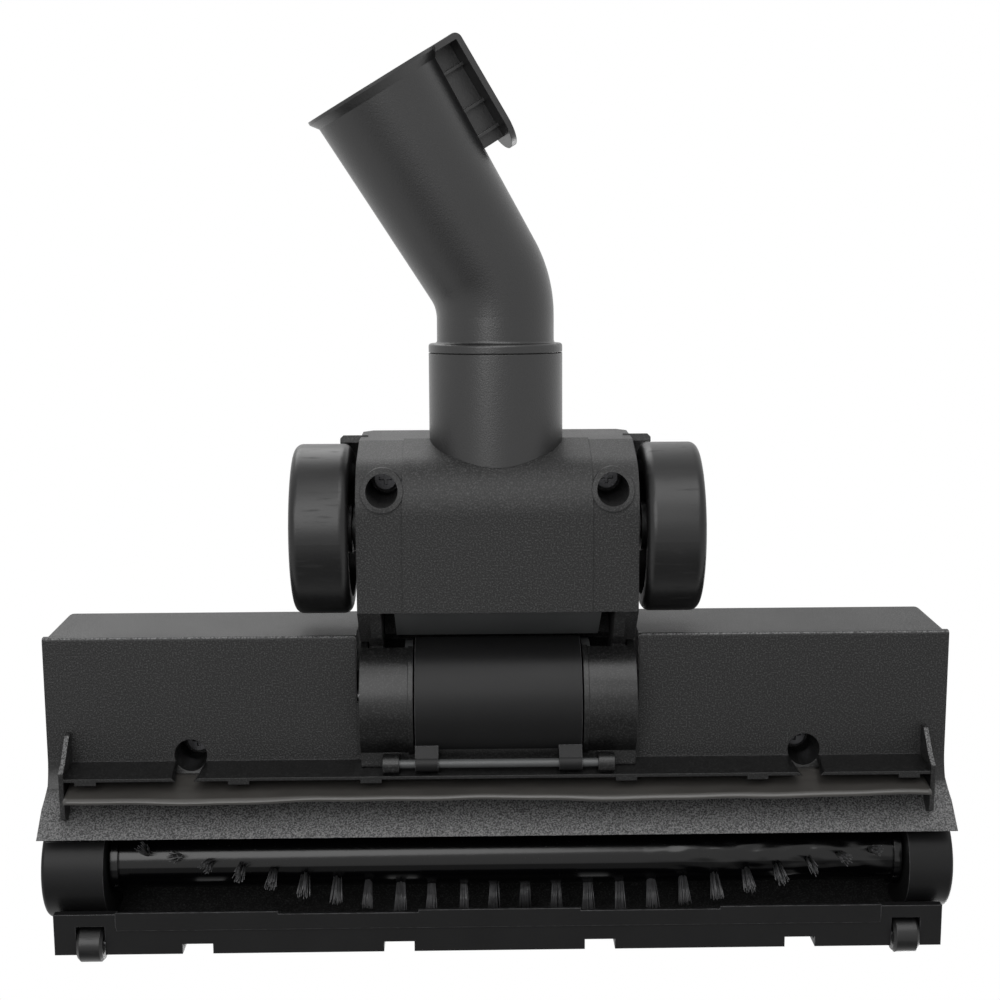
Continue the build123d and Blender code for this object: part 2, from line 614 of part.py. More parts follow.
def bristle_tufts():
    """Return the two rows of tufts set in a V round the roller."""
    tall = TIP_R - CORE_R - SEAT_GAP
    tuft = extrude(RegularPolygon(TUFT_R, 6), tall, taper=-TUFT_SPREAD_DEG)
    tufts = []
    for count in range(-TUFTS_PER_SIDE, TUFTS_PER_SIDE + 2):
        x = TUFT_APEX_X + count * TUFT_PITCH
        turn = TUFT_APEX_DEG - TUFT_TWIST * abs(x - TUFT_APEX_X)
        for row in (0, 180):
            spot = Pos(x, BRUSH_Y, BRUSH_Z) * Rot(180 - turn + row, 0, 0) * Pos(0, 0, CORE_R + SEAT_GAP)
            tufts.append(spot * tuft)
    return Compound(children=[solid for tuft in tufts for solid in tuft.solids()])


def drive_wheel(y, z, radius, bore):
    """Return a flanged belt wheel on a shaft along X."""
    wheel = bar_x(y, z, radius, DRIVE_X, DRIVE_X + DRIVE_WIDE)
    wheel += bar_x(y, z, radius + FLANGE_RISE, DRIVE_X, DRIVE_X + FLANGE_WIDE)
    wheel += bar_x(y, z, radius + FLANGE_RISE, DRIVE_X + DRIVE_WIDE - FLANGE_WIDE, DRIVE_X + DRIVE_WIDE)
    return wheel - bar_x(y, z, bore, DRIVE_X - 1, DRIVE_X + DRIVE_WIDE + 1)


def belt_loop(extra):
    """Return the filled outline of the belt, larger than the wheels by an amount."""
    small = PINION_R + extra
    large = PULLEY_R + extra
    dy = TURRET_Y - BRUSH_Y
    dz = TURRET_Z - BRUSH_Z
    lean = math.degrees(math.atan2(dz, dy))
    open_deg = math.degrees(math.acos((large - small) / math.hypot(dy, dz)))
    front = CenterArc((BRUSH_Y, BRUSH_Z), large, lean + open_deg, 360 - 2 * open_deg)
    rear = CenterArc((TURRET_Y, TURRET_Z), small, lean - open_deg, 2 * open_deg)
    return make_face([front, Line(front @ 1, rear @ 0), rear, Line(rear @ 1, front @ 0)])


def drive_belt():
    """Return the belt from the turbine shaft to the brush."""
    x0 = DRIVE_X + FLANGE_WIDE + BELT_PLAY
    x1 = x0 + BELT_WIDE
    return run_x(belt_loop(BELT_PLAY + BELT_THICK), x0, x1) - run_x(belt_loop(BELT_PLAY), x0 - 1, x1 + 1)


def turbine_impeller():
    """Return the turbine wheel with straight blades between two discs."""
    half = TURBINE_HALF - 1.6
    wheel = bar_x(TURRET_Y, TURRET_Z, TURBINE_HUB_R, -half, half)
    for count in range(TURBINE_BLADES):
        blade = Pos(0, TURRET_Y, TURRET_Z) * Rot(360 / TURBINE_BLADES * count, 0, 0)
        wheel += blade * Pos(0, 0, TURBINE_R / 2 + 1) * Box(2 * half, BLADE_THICK, TURBINE_R - 2.4)
    for x in (-half, -BLADE_THICK / 2, half - BLADE_THICK):
        wheel += bar_x(TURRET_Y, TURRET_Z, TURBINE_R - 0.6, x, x + BLADE_THICK)
    return wheel - bar_x(TURRET_Y, TURRET_Z, SHAFT_R, -half - 1, half + 1)


def turbine_shaft():
    """Return the long shaft from the turbine to the belt."""
    return bar_x(TURRET_Y, TURRET_Z, SHAFT_R, -TURBINE_HALF - END_PLATE - 1.4, SHAFT_END_X)


def access_flap():
    """Return the hinged lid under the turbine with its two lugs."""
    flap = ring_x(TURRET_Y, TURRET_Z, FLAP_OUT_R, FLAP_IN_R, FLAP_FRONT_DEG, FLAP_REAR_DEG, -FLAP_HALF,
                  FLAP_HALF)
    edge = polar(TURRET_Y, TURRET_Z, FLAP_OUT_R, FLAP_FRONT_DEG + 5)
    lug = bar_x(HINGE_Y, HINGE_Z, HINGE_KNUCKLE_R, FLAP_HALF - LUG_WIDE, FLAP_HALF)
    arm = [(HINGE_Y, HINGE_Z - HINGE_KNUCKLE_R), (edge[0], edge[1] - 0.1), (edge[0], edge[1] + 1.2),
           (HINGE_Y, HINGE_Z + HINGE_KNUCKLE_R)]
    lug += slab(arm, FLAP_HALF - LUG_WIDE, FLAP_HALF)
    flap += both_sides(lug)
    flap -= bar_x(TURRET_Y, TURRET_Z, FLAP_IN_R, -FLAP_HALF - 1, FLAP_HALF + 1)
    return flap - bar_x(HINGE_Y, HINGE_Z, HINGE_PIN_R + SHAFT_PLAY, -FLAP_HALF - 1, FLAP_HALF + 1)


def cross_screw(x, y, seat_z):
    """Return one screw with a cross slot, its head below its seat."""
    slot_z = seat_z - SCREW_HEAD_TALL / 2
    head = bar_z(x, y, SCREW_HEAD_R, seat_z - SCREW_HEAD_TALL, seat_z)
    head -= block(x - SLOT_HALF, x + SLOT_HALF, y - SLOT_WIDE / 2, y + SLOT_WIDE / 2, 0, slot_z)
    head -= block(x - SLOT_WIDE / 2, x + SLOT_WIDE / 2, y - SLOT_HALF, y + SLOT_HALF, 0, slot_z)
    return head + bar_z(x, y, SCREW_R, seat_z, seat_z + SCREW_LONG)


def housing_screws():
    """Return the two screws deep in the panel holes."""
    return both_sides(cross_screw(SCREW_X, SCREW_Y, SCREW_SEAT_Z))


def carriage_block(grow, front_y, top_z, half):
    """Return the lower carriage form with its round knee, grown by an amount."""
    lean = math.atan2(SPLIT_Z - CARRIAGE_Z, CARRIAGE_REAR_Y - CARRIAGE_KNEE_Y)
    knee_y = CARRIAGE_KNEE_Y + grow * math.tan(lean / 2)
    rear_y = CARRIAGE_REAR_Y + grow / math.sin(lean) + (top_z - SPLIT_Z) / math.tan(lean)
    low = CARRIAGE_Z - grow
    form = slab([(front_y, low), (knee_y, low), (rear_y, top_z), (front_y, top_z)], -half, half)
    knee = form.edges().filter_by(Axis.X).sort_by_distance((0, knee_y, low))[0]
    return fillet(knee, KNEE_ROUND + grow)


def pivot_arm():
    """Return the arm, disc, flank and fin that carry the carriage on one side of the barrel."""
    x1 = BARREL_HALF - RUN_GAP
    x0 = x1 - DISC_WIDE
    root_y = CARRIAGE_FRONT_Y + ARM_ROOT
    reach = TURRET_Y + DISC_R
    low_z = TURRET_Z - ARM_DROP
    hub_y = TURRET_Y + ARM_ROOT
    inside = [(hub_y, low_z), (reach, low_z - 1), (CARRIAGE_FRONT_Y, CARRIAGE_Z), (root_y, CARRIAGE_Z),
              (root_y, SPLIT_Z), (hub_y, SPLIT_Z)]
    outside = [(reach, low_z - 1), (CARRIAGE_FRONT_Y, CARRIAGE_Z), (root_y, CARRIAGE_Z), (root_y, SPLIT_Z),
               (reach, SPLIT_Z)]
    fin_y = CARRIAGE_FRONT_Y - FIN_REACH
    behind = CARRIAGE_FRONT_Y + 1
    fin = [(fin_y, CARRIAGE_Z + ARM_ROOT), (behind, CARRIAGE_Z), (behind, TURRET_Z), (fin_y, TURRET_Z)]
    flank = slab(outside, x0, CARRIAGE_HALF) + slab(fin, FIN_X, FIN_X + FIN_THICK)
    flank -= bar_x(TURRET_Y, TURRET_Z, HOOD_IN_R, x0 - 1, CARRIAGE_HALF + 1)
    arm = flank + slab(inside, x0, x1) + bar_x(TURRET_Y, TURRET_Z, DISC_R, x0, x1)
    return arm - bar_x(TURRET_Y, TURRET_Z, SHAFT_BEARING_R, x0 - 1, x1 + 1)


def carriage_lower_shell():
    """Return the lower half of the rear carriage with its raised middle, pivot arms and screw wells."""
    shell = carriage_block(0, CARRIAGE_FRONT_Y, SPLIT_Z, CARRIAGE_HALF)
    shell += carriage_block(MIDDLE_PROUD, CARRIAGE_FRONT_Y, SPLIT_Z, MIDDLE_HALF)
    shell -= carriage_block(-SKIN, CARRIAGE_FRONT_Y - 1, SPLIT_Z + 1, CARRIAGE_HALF - SKIN)
    tube_r = WELL_R + WELL_RING
    well = bar_z(WELL_X, WELL_Y, tube_r, 0, SPLIT_Z)
    well &= carriage_block(WELL_PROUD, CARRIAGE_FRONT_Y, SPLIT_Z, CARRIAGE_HALF)
    well += bar_z(WELL_X, WELL_Y, tube_r, SPLIT_Z - 1, WELL_SEAT_Z + SKIN)
    shell += both_sides(well + pivot_arm())
    for side in (-1, 1):
        shell -= bar_z(side * WELL_X, WELL_Y, WELL_R, 0, WELL_SEAT_Z)
        shell -= bar_z(side * WELL_X, WELL_Y, SCREW_R + SEAT_GAP, 0, WELL_SEAT_Z + SKIN + 1)
    shell -= bar_x(WHEEL_Y, WHEEL_Z, AXLE_PEG_R, -CARRIAGE_HALF - 1, CARRIAGE_HALF + 1)
    return shell - sleeve_bar(SLEEVE_R, SPIGOT_START - RUN_GAP, SLEEVE_AHEAD)


def wheel_fender():
    """Return the arch behind and above one rear wheel, with its cut rear corner."""
    inner_r = WHEEL_R + FENDER_GAP
    x0 = CARRIAGE_HALF - SKIN
    x1 = CARRIAGE_HALF + FENDER_WIDE
    outer_r = inner_r + FENDER_THICK
    arch = ring_x(WHEEL_Y, WHEEL_Z, outer_r, inner_r, FENDER_REAR_DEG, FENDER_FRONT_DEG, x0, x1)
    rear_y = WHEEL_Y + outer_r + 1
    cut = FENDER_CORNER + 1
    corner = Polyline((x1 + 1, rear_y), (x1 - cut, rear_y), (x1 + 1, rear_y - 1 - cut), close=True)
    return arch - extrude(make_face(corner), CARRIAGE_TOP_Z)


def carriage_upper_shell():
    """Return the upper half of the carriage with the hood under the cover and the wheel fenders."""
    hood_end = polar(TURRET_Y, TURRET_Z, HOOD_OUT_R, HOOD_REAR_DEG)
    front_y = TURRET_Y + BARREL_R
    top = [(front_y, SPLIT_Z), (CARRIAGE_REAR_Y, SPLIT_Z), (CARRIAGE_REAR_Y, CARRIAGE_TOP_Z - BROW),
           (CARRIAGE_REAR_Y - 2 * BROW, CARRIAGE_TOP_Z), (WHEEL_Y + BROW, CARRIAGE_TOP_Z - 1), hood_end]
    shell = slab(top, -CARRIAGE_HALF, CARRIAGE_HALF)
    brow = shell.edges().filter_by(GeomType.LINE).filter_by(lambda e: e.center().Z > SPLIT_Z + 14)
    shell = chamfer(brow.filter_by(lambda e: abs(e.center().X) > 1), BROW)
    inner_y = CARRIAGE_REAR_Y - SKIN
    inner = [(TURRET_Y, SPLIT_Z - 3), (inner_y, SPLIT_Z - 3), (inner_y, CARRIAGE_TOP_Z - BROW - SKIN),
             (inner_y - 2 * BROW, CARRIAGE_TOP_Z - SKIN), (WHEEL_Y + BROW, CARRIAGE_TOP_Z - 1 - SKIN),
             (hood_end[0], hood_end[1] - SKIN), (TURRET_Y, hood_end[1] - 2 * SKIN)]
    wall = SKIN + BROW / 2
    shell -= slab(inner, -CARRIAGE_HALF + wall, CARRIAGE_HALF - wall)
    shell -= bar_x(TURRET_Y, TURRET_Z, HOOD_IN_R, -CARRIAGE_HALF - 1, CARRIAGE_HALF + 1)
    start = HOOD_REAR_DEG - HOOD_LAP_DEG
    half = CARRIAGE_HALF
    shell += ring_x(TURRET_Y, TURRET_Z, HOOD_OUT_R, HOOD_IN_R, start, HOOD_FRONT_DEG, -half, half)
    tube_top = WELL_SEAT_Z + SKIN + SEAT_GAP
    for side in (-1, 1):
        shell -= bar_z(side * WELL_X, WELL_Y, WELL_R + WELL_RING + SEAT_GAP, 0, tube_top)
        post = bar_z(side * WELL_X, WELL_Y, WELL_R, tube_top, CARRIAGE_TOP_Z - 2)
        shell += post - bar_z(side * WELL_X, WELL_Y, SCREW_R, 0, WELL_SEAT_Z + SCREW_LONG + 0.5)
    shell += both_sides(wheel_fender())
    return shell - sleeve_bar(SLEEVE_R, SPIGOT_START - RUN_GAP, SLEEVE_AHEAD)


def air_duct():
    """Return the channel that leads the air from the barrel to the sleeve, with its sloping tongue."""
    floor_z = CARRIAGE_Z + SKIN + SEAT_GAP
    tongue_z = CARRIAGE_Z + 1
    step_y = CARRIAGE_FRONT_Y - SEAT_GAP
    rear_y = SLEEVE_Y - SLEEVE_BACK - 8
    roof_y = DUCT_FRONT_Y + 4
    side = [(DUCT_FRONT_Y, TONGUE_TIP_Z), (step_y, tongue_z), (step_y, floor_z), (rear_y, floor_z),
            (rear_y, DUCT_TOP_Z), (roof_y, DUCT_TOP_Z - ROOF_DROP), (DUCT_FRONT_Y, SPLIT_Z + 2)]
    duct = slab(side, -DUCT_HALF, DUCT_HALF)
    low = floor_z + DUCT_WALL
    end = rear_y - DUCT_WALL
    high = DUCT_TOP_Z + 1
    tip_z = TONGUE_TIP_Z + TONGUE_WALL
    ahead = DUCT_FRONT_Y - 1
    hollow = [(ahead, high), (ahead, tip_z), (DUCT_FRONT_Y, tip_z), (step_y, low), (end, low), (end, high)]
    room = slab(hollow, DUCT_WALL - DUCT_HALF, DUCT_HALF - DUCT_WALL)
    return duct - room - sleeve_bar(AIR_R, -SLEEVE_BACK - 12, 0)


def swivel_sleeve():
    """Return the tube at the rear of the carriage in which the neck turns."""
    sleeve = sleeve_bar(SLEEVE_R, -SLEEVE_BACK, SLEEVE_AHEAD - 0.3)
    return sleeve - sleeve_bar(SLEEVE_BORE_R, -SLEEVE_BACK - 1, SLEEVE_AHEAD + 1)


def carriage_screws():
    """Return the two screws that hold the carriage halves together."""
    return both_sides(cross_screw(WELL_X, WELL_Y, WELL_SEAT_Z))


def wheel_axle():
    """Return the stub axle of one rear wheel, made on the +X side."""
    end = WHEEL_X + WHEEL_WIDE
    axle = bar_x(WHEEL_Y, WHEEL_Z, AXLE_PEG_R, CARRIAGE_HALF - SKIN - 1, CARRIAGE_HALF)
    axle += bar_x(WHEEL_Y, WHEEL_Z, AXLE_R + 3, CARRIAGE_HALF, WHEEL_X - RUN_GAP)
    axle += bar_x(WHEEL_Y, WHEEL_Z, AXLE_R, CARRIAGE_HALF, end - 2)
    return axle + bar_x(WHEEL_Y, WHEEL_Z, AXLE_R + 1.2, end - 2, end - 0.6)


def rear_wheel():
    """Return one rear wheel with its recessed inner side, made on the +X side."""
    end = WHEEL_X + WHEEL_WIDE
    wheel = bar_x(WHEEL_Y, WHEEL_Z, WHEEL_R, WHEEL_X, end)
    wheel = fillet(wheel.edges().filter_by(GeomType.CIRCLE), WHEEL_ROUND)
    wheel -= bar_x(WHEEL_Y, WHEEL_Z, WHEEL_R - WHEEL_RIM, WHEEL_X - 1, end - WHEEL_RIM) - bar_x(
        WHEEL_Y, WHEEL_Z, AXLE_R + HUB_WALL, WHEEL_X - 2, end)
    wheel -= bar_x(WHEEL_Y, WHEEL_Z, AXLE_R + SHAFT_PLAY, WHEEL_X - 1, end + 1)
    return wheel - bar_x(WHEEL_Y, WHEEL_Z, AXLE_R + 1.2 + RUN_GAP, end - 2 - RUN_GAP, end + 1)


def caster():
    """Return one front caster, made on the +X side."""
    roller = bar_x(CASTER_Y, CASTER_R, CASTER_R, CASTER_X - CASTER_WIDE / 2, CASTER_X + CASTER_WIDE / 2)
    roller = chamfer(roller.edges().filter_by(GeomType.CIRCLE), CASTER_ROUND)
    hole_r = CASTER_PIN_R + SHAFT_PLAY
    return roller - bar_x(CASTER_Y, CASTER_R, hole_r, CASTER_X - CASTER_WIDE, CASTER_X + CASTER_WIDE)


def caster_pin():
    """Return the steel pin of one caster, made on the +X side."""
    reach = CASTER_WIDE / 2 + CASTER_PIN_REACH
    return bar_x(CASTER_Y, CASTER_R, CASTER_PIN_R, CASTER_X - reach, CASTER_X + reach)


def hinge_pin():
    """Return the pin of the access flap."""
    return bar_x(HINGE_Y, HINGE_Z, HINGE_PIN_R, -PIN_END_X, PIN_END_X)


def park_hook():
    """Return the hook in the frame of the socket mouth."""
    inner = SOCKET_MOUTH_R + HOOK_GAP
    outer = inner + HOOK_THICK
    hook = Pos((inner + outer) / 2, 0, -HOOK_LONG / 2) * Box(HOOK_THICK, 2 * HOOK_HALF, HOOK_LONG)
    ends = hook.edges().filter_by(Axis.X).group_by(Axis.Z)[0]
    hook = fillet(ends, HOOK_HALF - SEAT_GAP)
    start = SOCKET_R + HOOK_ROOT
    hook += Pos((start + outer) / 2, 0, -HOOK_FLANGE / 2) * Box(outer - start, 2 * HOOK_HALF, HOOK_FLANGE)
    corner = hook.edges().filter_by(Axis.Y).sort_by_distance((outer, 0, 0))[0]
    hook = fillet(corner, HOOK_ROUND)
    middle = (start + inner) / 2
    wide = inner - start + HOOK_THICK
    hook += Pos(middle, 0, -HOOK_WEB_LONG / 2) * Box(wide, HOOK_RIB_THICK, HOOK_WEB_LONG)
    for spot in HOOK_RIB_SPOTS:
        hook += Pos(middle, 0, -spot) * Box(wide, 2 * HOOK_RIB_HALF, HOOK_RIB_THICK)
    return hook


def neck_elbow():
    """Return the bent neck with its spigot, tube socket and park hook."""
    low = (Align.CENTER, Align.CENTER, Align.MIN)
    straight = COLLAR_LONG + NECK_LONG
    bend = math.radians(BEND_DEG)
    start = Vector(0, 0, straight)
    middle = Vector(BEND_R * (1 - math.cos(bend / 2)), 0, straight + BEND_R * math.sin(bend / 2))
    end = Vector(BEND_R * (1 - math.cos(bend)), 0, straight + BEND_R * math.sin(bend))
    path = ThreePointArc(start, middle, end)
    way = Vector(math.sin(bend), 0, math.cos(bend))
    across = Plane(origin=end, x_dir=(math.cos(bend), 0, -math.sin(bend)), z_dir=way)
    solid = Cylinder(SLEEVE_R, COLLAR_LONG, align=low) + Cylinder(NECK_R, straight, align=low)
    rounds = solid.edges().filter_by(GeomType.CIRCLE)
    steps = rounds.filter_by(lambda edge: abs(edge.center().Z - COLLAR_LONG) < SEAT_GAP)
    solid = fillet(steps, COLLAR_ROUND)
    sections = [Plane(origin=start, z_dir=(0, 0, 1)) * Circle(NECK_R), across * Circle(SOCKET_START_R)]
    solid += sweep(sections, path=path, multisection=True)
    solid += across * Cone(SOCKET_START_R, SOCKET_MOUTH_R, SOCKET_LONG, align=low)
    rim_r = SOCKET_MOUTH_R + RIM_RISE
    flare = Cone(SOCKET_MOUTH_R - RIM_EDGE, rim_r, RIM_LONG - RIM_EDGE, align=low)
    flare = Pos(0, 0, SOCKET_LONG - RIM_LONG) * flare
    solid += across * (flare + Pos(0, 0, SOCKET_LONG - RIM_EDGE) * Cylinder(rim_r, RIM_EDGE, align=low))
    spigot_long = SLEEVE_AHEAD - SPIGOT_START
    spigot_r = SLEEVE_BORE_R - RUN_GAP
    solid += Pos(0, 0, -spigot_long) * Cylinder(spigot_r, spigot_long, align=low)
    solid = neck_base() * solid + mouth_frame() * park_hook()
    air = Pos(0, 0, -spigot_long - 1) * Cylinder(AIR_R, spigot_long + 1 + straight, align=low)
    air += sweep(Plane(origin=start, z_dir=(0, 0, 1)) * Circle(AIR_R), path=path)
    air += across * Cylinder(AIR_R, SOCKET_LONG, align=low)
    bore = Cylinder(SOCKET_R, SOCKET_BORE_LONG + 1, align=low)
    air += across * Pos(0, 0, SOCKET_LONG - SOCKET_BORE_LONG) * bore
    return solid - neck_base() * air


def swivel_ring():
    """Return the ring that keeps the neck in its sleeve."""
    ring = sleeve_bar(SLEEVE_R - 0.8, SPIGOT_START, SPIGOT_START + RING_WIDE)
    return ring - sleeve_bar(SLEEVE_BORE_R - RUN_GAP, SPIGOT_START - 1, SPIGOT_START + RING_WIDE + 1)


def flip(solid):
    """Return a solid made on the +X side, mirrored to the other side."""
    return mirror(solid, Plane.YZ)


def make_pieces():
    """Return every piece by name, in the working frame."""
    plate_x = TURBINE_HALF + 0.2
    turbine_bearing = shaft_bearing(plate_x, END_PLATE)
    return {
        "sole_plate": sole_plate(),
        "upper_cover": upper_cover(),
        "turbine_chamber": turbine_chamber(),
        "squeegee_strip": squeegee_strip(),
        "front_bar": front_bar(),
        "end_cap_left": end_cap(BELT_CAP_X, True),
        "end_cap_right": flip(end_cap(PLAIN_CAP_X, False)),
        "flap_hinge_pin": hinge_pin(),
        "caster_pin_left": caster_pin(),
        "caster_pin_right": flip(caster_pin()),
        "brush_bearing_left": brush_bearing(BELT_CAP_X),
        "brush_bearing_right": brush_bearing(-PLAIN_CAP_X - BEARING_WIDE),
        "turbine_bearing_left": turbine_bearing,
        "turbine_bearing_right": flip(turbine_bearing),
        "shaft_end_bearing": shaft_bearing(SHAFT_END_X - BEARING_WIDE, BEARING_WIDE),
        "housing_screws": housing_screws(),
        "drive_belt": drive_belt(),
        "brush_core": brush_core(),
        "bristle_tufts": bristle_tufts(),
        "brush_pulley": drive_wheel(BRUSH_Y, BRUSH_Z, PULLEY_R, STUB_R),
        "turbine_impeller": turbine_impeller(),
        "turbine_shaft": turbine_shaft(),
        "drive_pinion": drive_wheel(TURRET_Y, TURRET_Z, PINION_R, SHAFT_R),
        "access_flap": access_flap(),
        "carriage_lower_shell": carriage_lower_shell(),
        "carriage_upper_shell": carriage_upper_shell(),
        "air_duct": air_duct(),
        "swivel_sleeve": swivel_sleeve(),
        "carriage_screws": carriage_screws(),
        "wheel_axle_left": wheel_axle(),
        "wheel_axle_right": flip(wheel_axle()),
        "neck_elbow": neck_elbow(),
        "swivel_ring": swivel_ring(),
        "wheel_left": rear_wheel(),
        "wheel_right": flip(rear_wheel()),
        "caster_left": caster(),
        "caster_right": flip(caster()),
    }


def to_origin(pieces):
    """Return the move that puts the origin on the floor under the middle of all the pieces."""
    boxes = [piece.bounding_box() for piece in pieces.values()]
    middle_x = (min(box.min.X for box in boxes) + max(box.max.X for box in boxes)) / 2
    middle_y = (min(box.min.Y for box in boxes) + max(box.max.Y for box in boxes)) / 2
    return Pos(-middle_x, -middle_y, -min(box.min.Z for box in boxes))


def main():
    """Make the pieces and write one STEP file for each."""
    os.makedirs("parts", exist_ok=True)
    pieces = make_pieces()
    move = to_origin(pieces)
    for name, piece in pieces.items():
        export_step(move * piece, f"parts/{name}.step")


if __name__ == "__main__":
    main()
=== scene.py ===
"""Looks of the floor brush head: finishes, bristles, strip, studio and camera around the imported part."""

import json
import logging
import math
import random
from dataclasses import dataclass, field, replace
from enum import Enum

import bmesh
import bpy
from mathutils import Euler, Matrix, Vector


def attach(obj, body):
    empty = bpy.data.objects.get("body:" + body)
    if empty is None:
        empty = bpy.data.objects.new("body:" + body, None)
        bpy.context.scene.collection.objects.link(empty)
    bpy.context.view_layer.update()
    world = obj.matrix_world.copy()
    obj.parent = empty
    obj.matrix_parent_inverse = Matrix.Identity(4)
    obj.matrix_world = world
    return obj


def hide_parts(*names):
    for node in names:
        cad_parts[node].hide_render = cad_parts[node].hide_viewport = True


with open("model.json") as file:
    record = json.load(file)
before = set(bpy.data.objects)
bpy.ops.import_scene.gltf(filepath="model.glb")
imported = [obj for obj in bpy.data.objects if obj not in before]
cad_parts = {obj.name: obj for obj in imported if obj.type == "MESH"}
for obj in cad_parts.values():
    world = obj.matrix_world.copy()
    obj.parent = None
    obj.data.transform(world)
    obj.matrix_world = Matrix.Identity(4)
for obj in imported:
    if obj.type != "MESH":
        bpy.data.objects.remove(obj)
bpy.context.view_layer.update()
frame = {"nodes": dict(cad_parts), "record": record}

LOG = logging.getLogger("floor_brush_head")
MM = 0.001
NOISE_MEAN = 0.5
NOISE_ROUGHNESS = 0.6
EDGE_SAMPLES = 4
MIX_FACTOR, MIX_LOW, MIX_HIGH, MIX_RESULT = 0, 6, 7, 2  # a Mix node's sockets for colours
Colour = tuple[float, float, float]
Point = tuple[float, float, float]
Zone = tuple[Point, Point]
Stops = tuple[tuple[float, float], tuple[float, float]]
BLACK: Colour = (0.0, 0.0, 0.0)
EDGE_STOPS: Stops = ((0.02, 0.0), (0.25, 1.0))
RISE: Stops = ((0.0, 0.0), (1.0, 1.0))


class Socket:
    """A shader socket that takes part in Python arithmetic."""

    def __init__(self, graph: "Graph", link: bpy.types.NodeSocket) -> None:
        """Wrap one output socket of a graph."""
        self.graph = graph
        self.link = link

    def _math(self, operation: str, left: "Socket | float", right: "Socket | float") -> "Socket":
        """Add a Math node for two values.

        Args:
            operation: the Math node's operation.
            left: the first value.
            right: the second value.

        Returns:
            The result's socket.
        """
        return self.graph.node("ShaderNodeMath", {"operation": operation}, {0: left, 1: right})

    def __add__(self, other: "Socket | float") -> "Socket":
        """Return the sum."""
        return self._math("ADD", self, other)

    def __radd__(self, other: float) -> "Socket":
        """Return the sum with the number first."""
        return self._math("ADD", other, self)

    def __sub__(self, other: "Socket | float") -> "Socket":
        """Return the difference."""
        return self._math("SUBTRACT", self, other)

    def __rsub__(self, other: float) -> "Socket":
        """Return the difference with the number first."""
        return self._math("SUBTRACT", other, self)

    def __mul__(self, other: "Socket | float") -> "Socket":
        """Return the product."""
        return self._math("MULTIPLY", self, other)

    def __rmul__(self, other: float) -> "Socket":
        """Return the product with the number first."""
        return self._math("MULTIPLY", other, self)

    def __gt__(self, other: "Socket | float") -> "Socket":
        """Return 1 where this value is the larger one."""
        return self._math("GREATER_THAN", self, other)

    def __lt__(self, other: "Socket | float") -> "Socket":
        """Return 1 where this value is the smaller one."""
        return self._math("LESS_THAN", self, other)

    def __truediv__(self, other: "Socket | float") -> "Socket":
        """Return the quotient."""
        return self._math("DIVIDE", self, other)

    def __rtruediv__(self, other: float) -> "Socket":
        """Return the quotient with the number first."""
        return self._math("DIVIDE", other, self)

    def at_least(self, other: "Socket | float") -> "Socket":
        """Return the larger of two values."""
        return self._math("MAXIMUM", self, other)


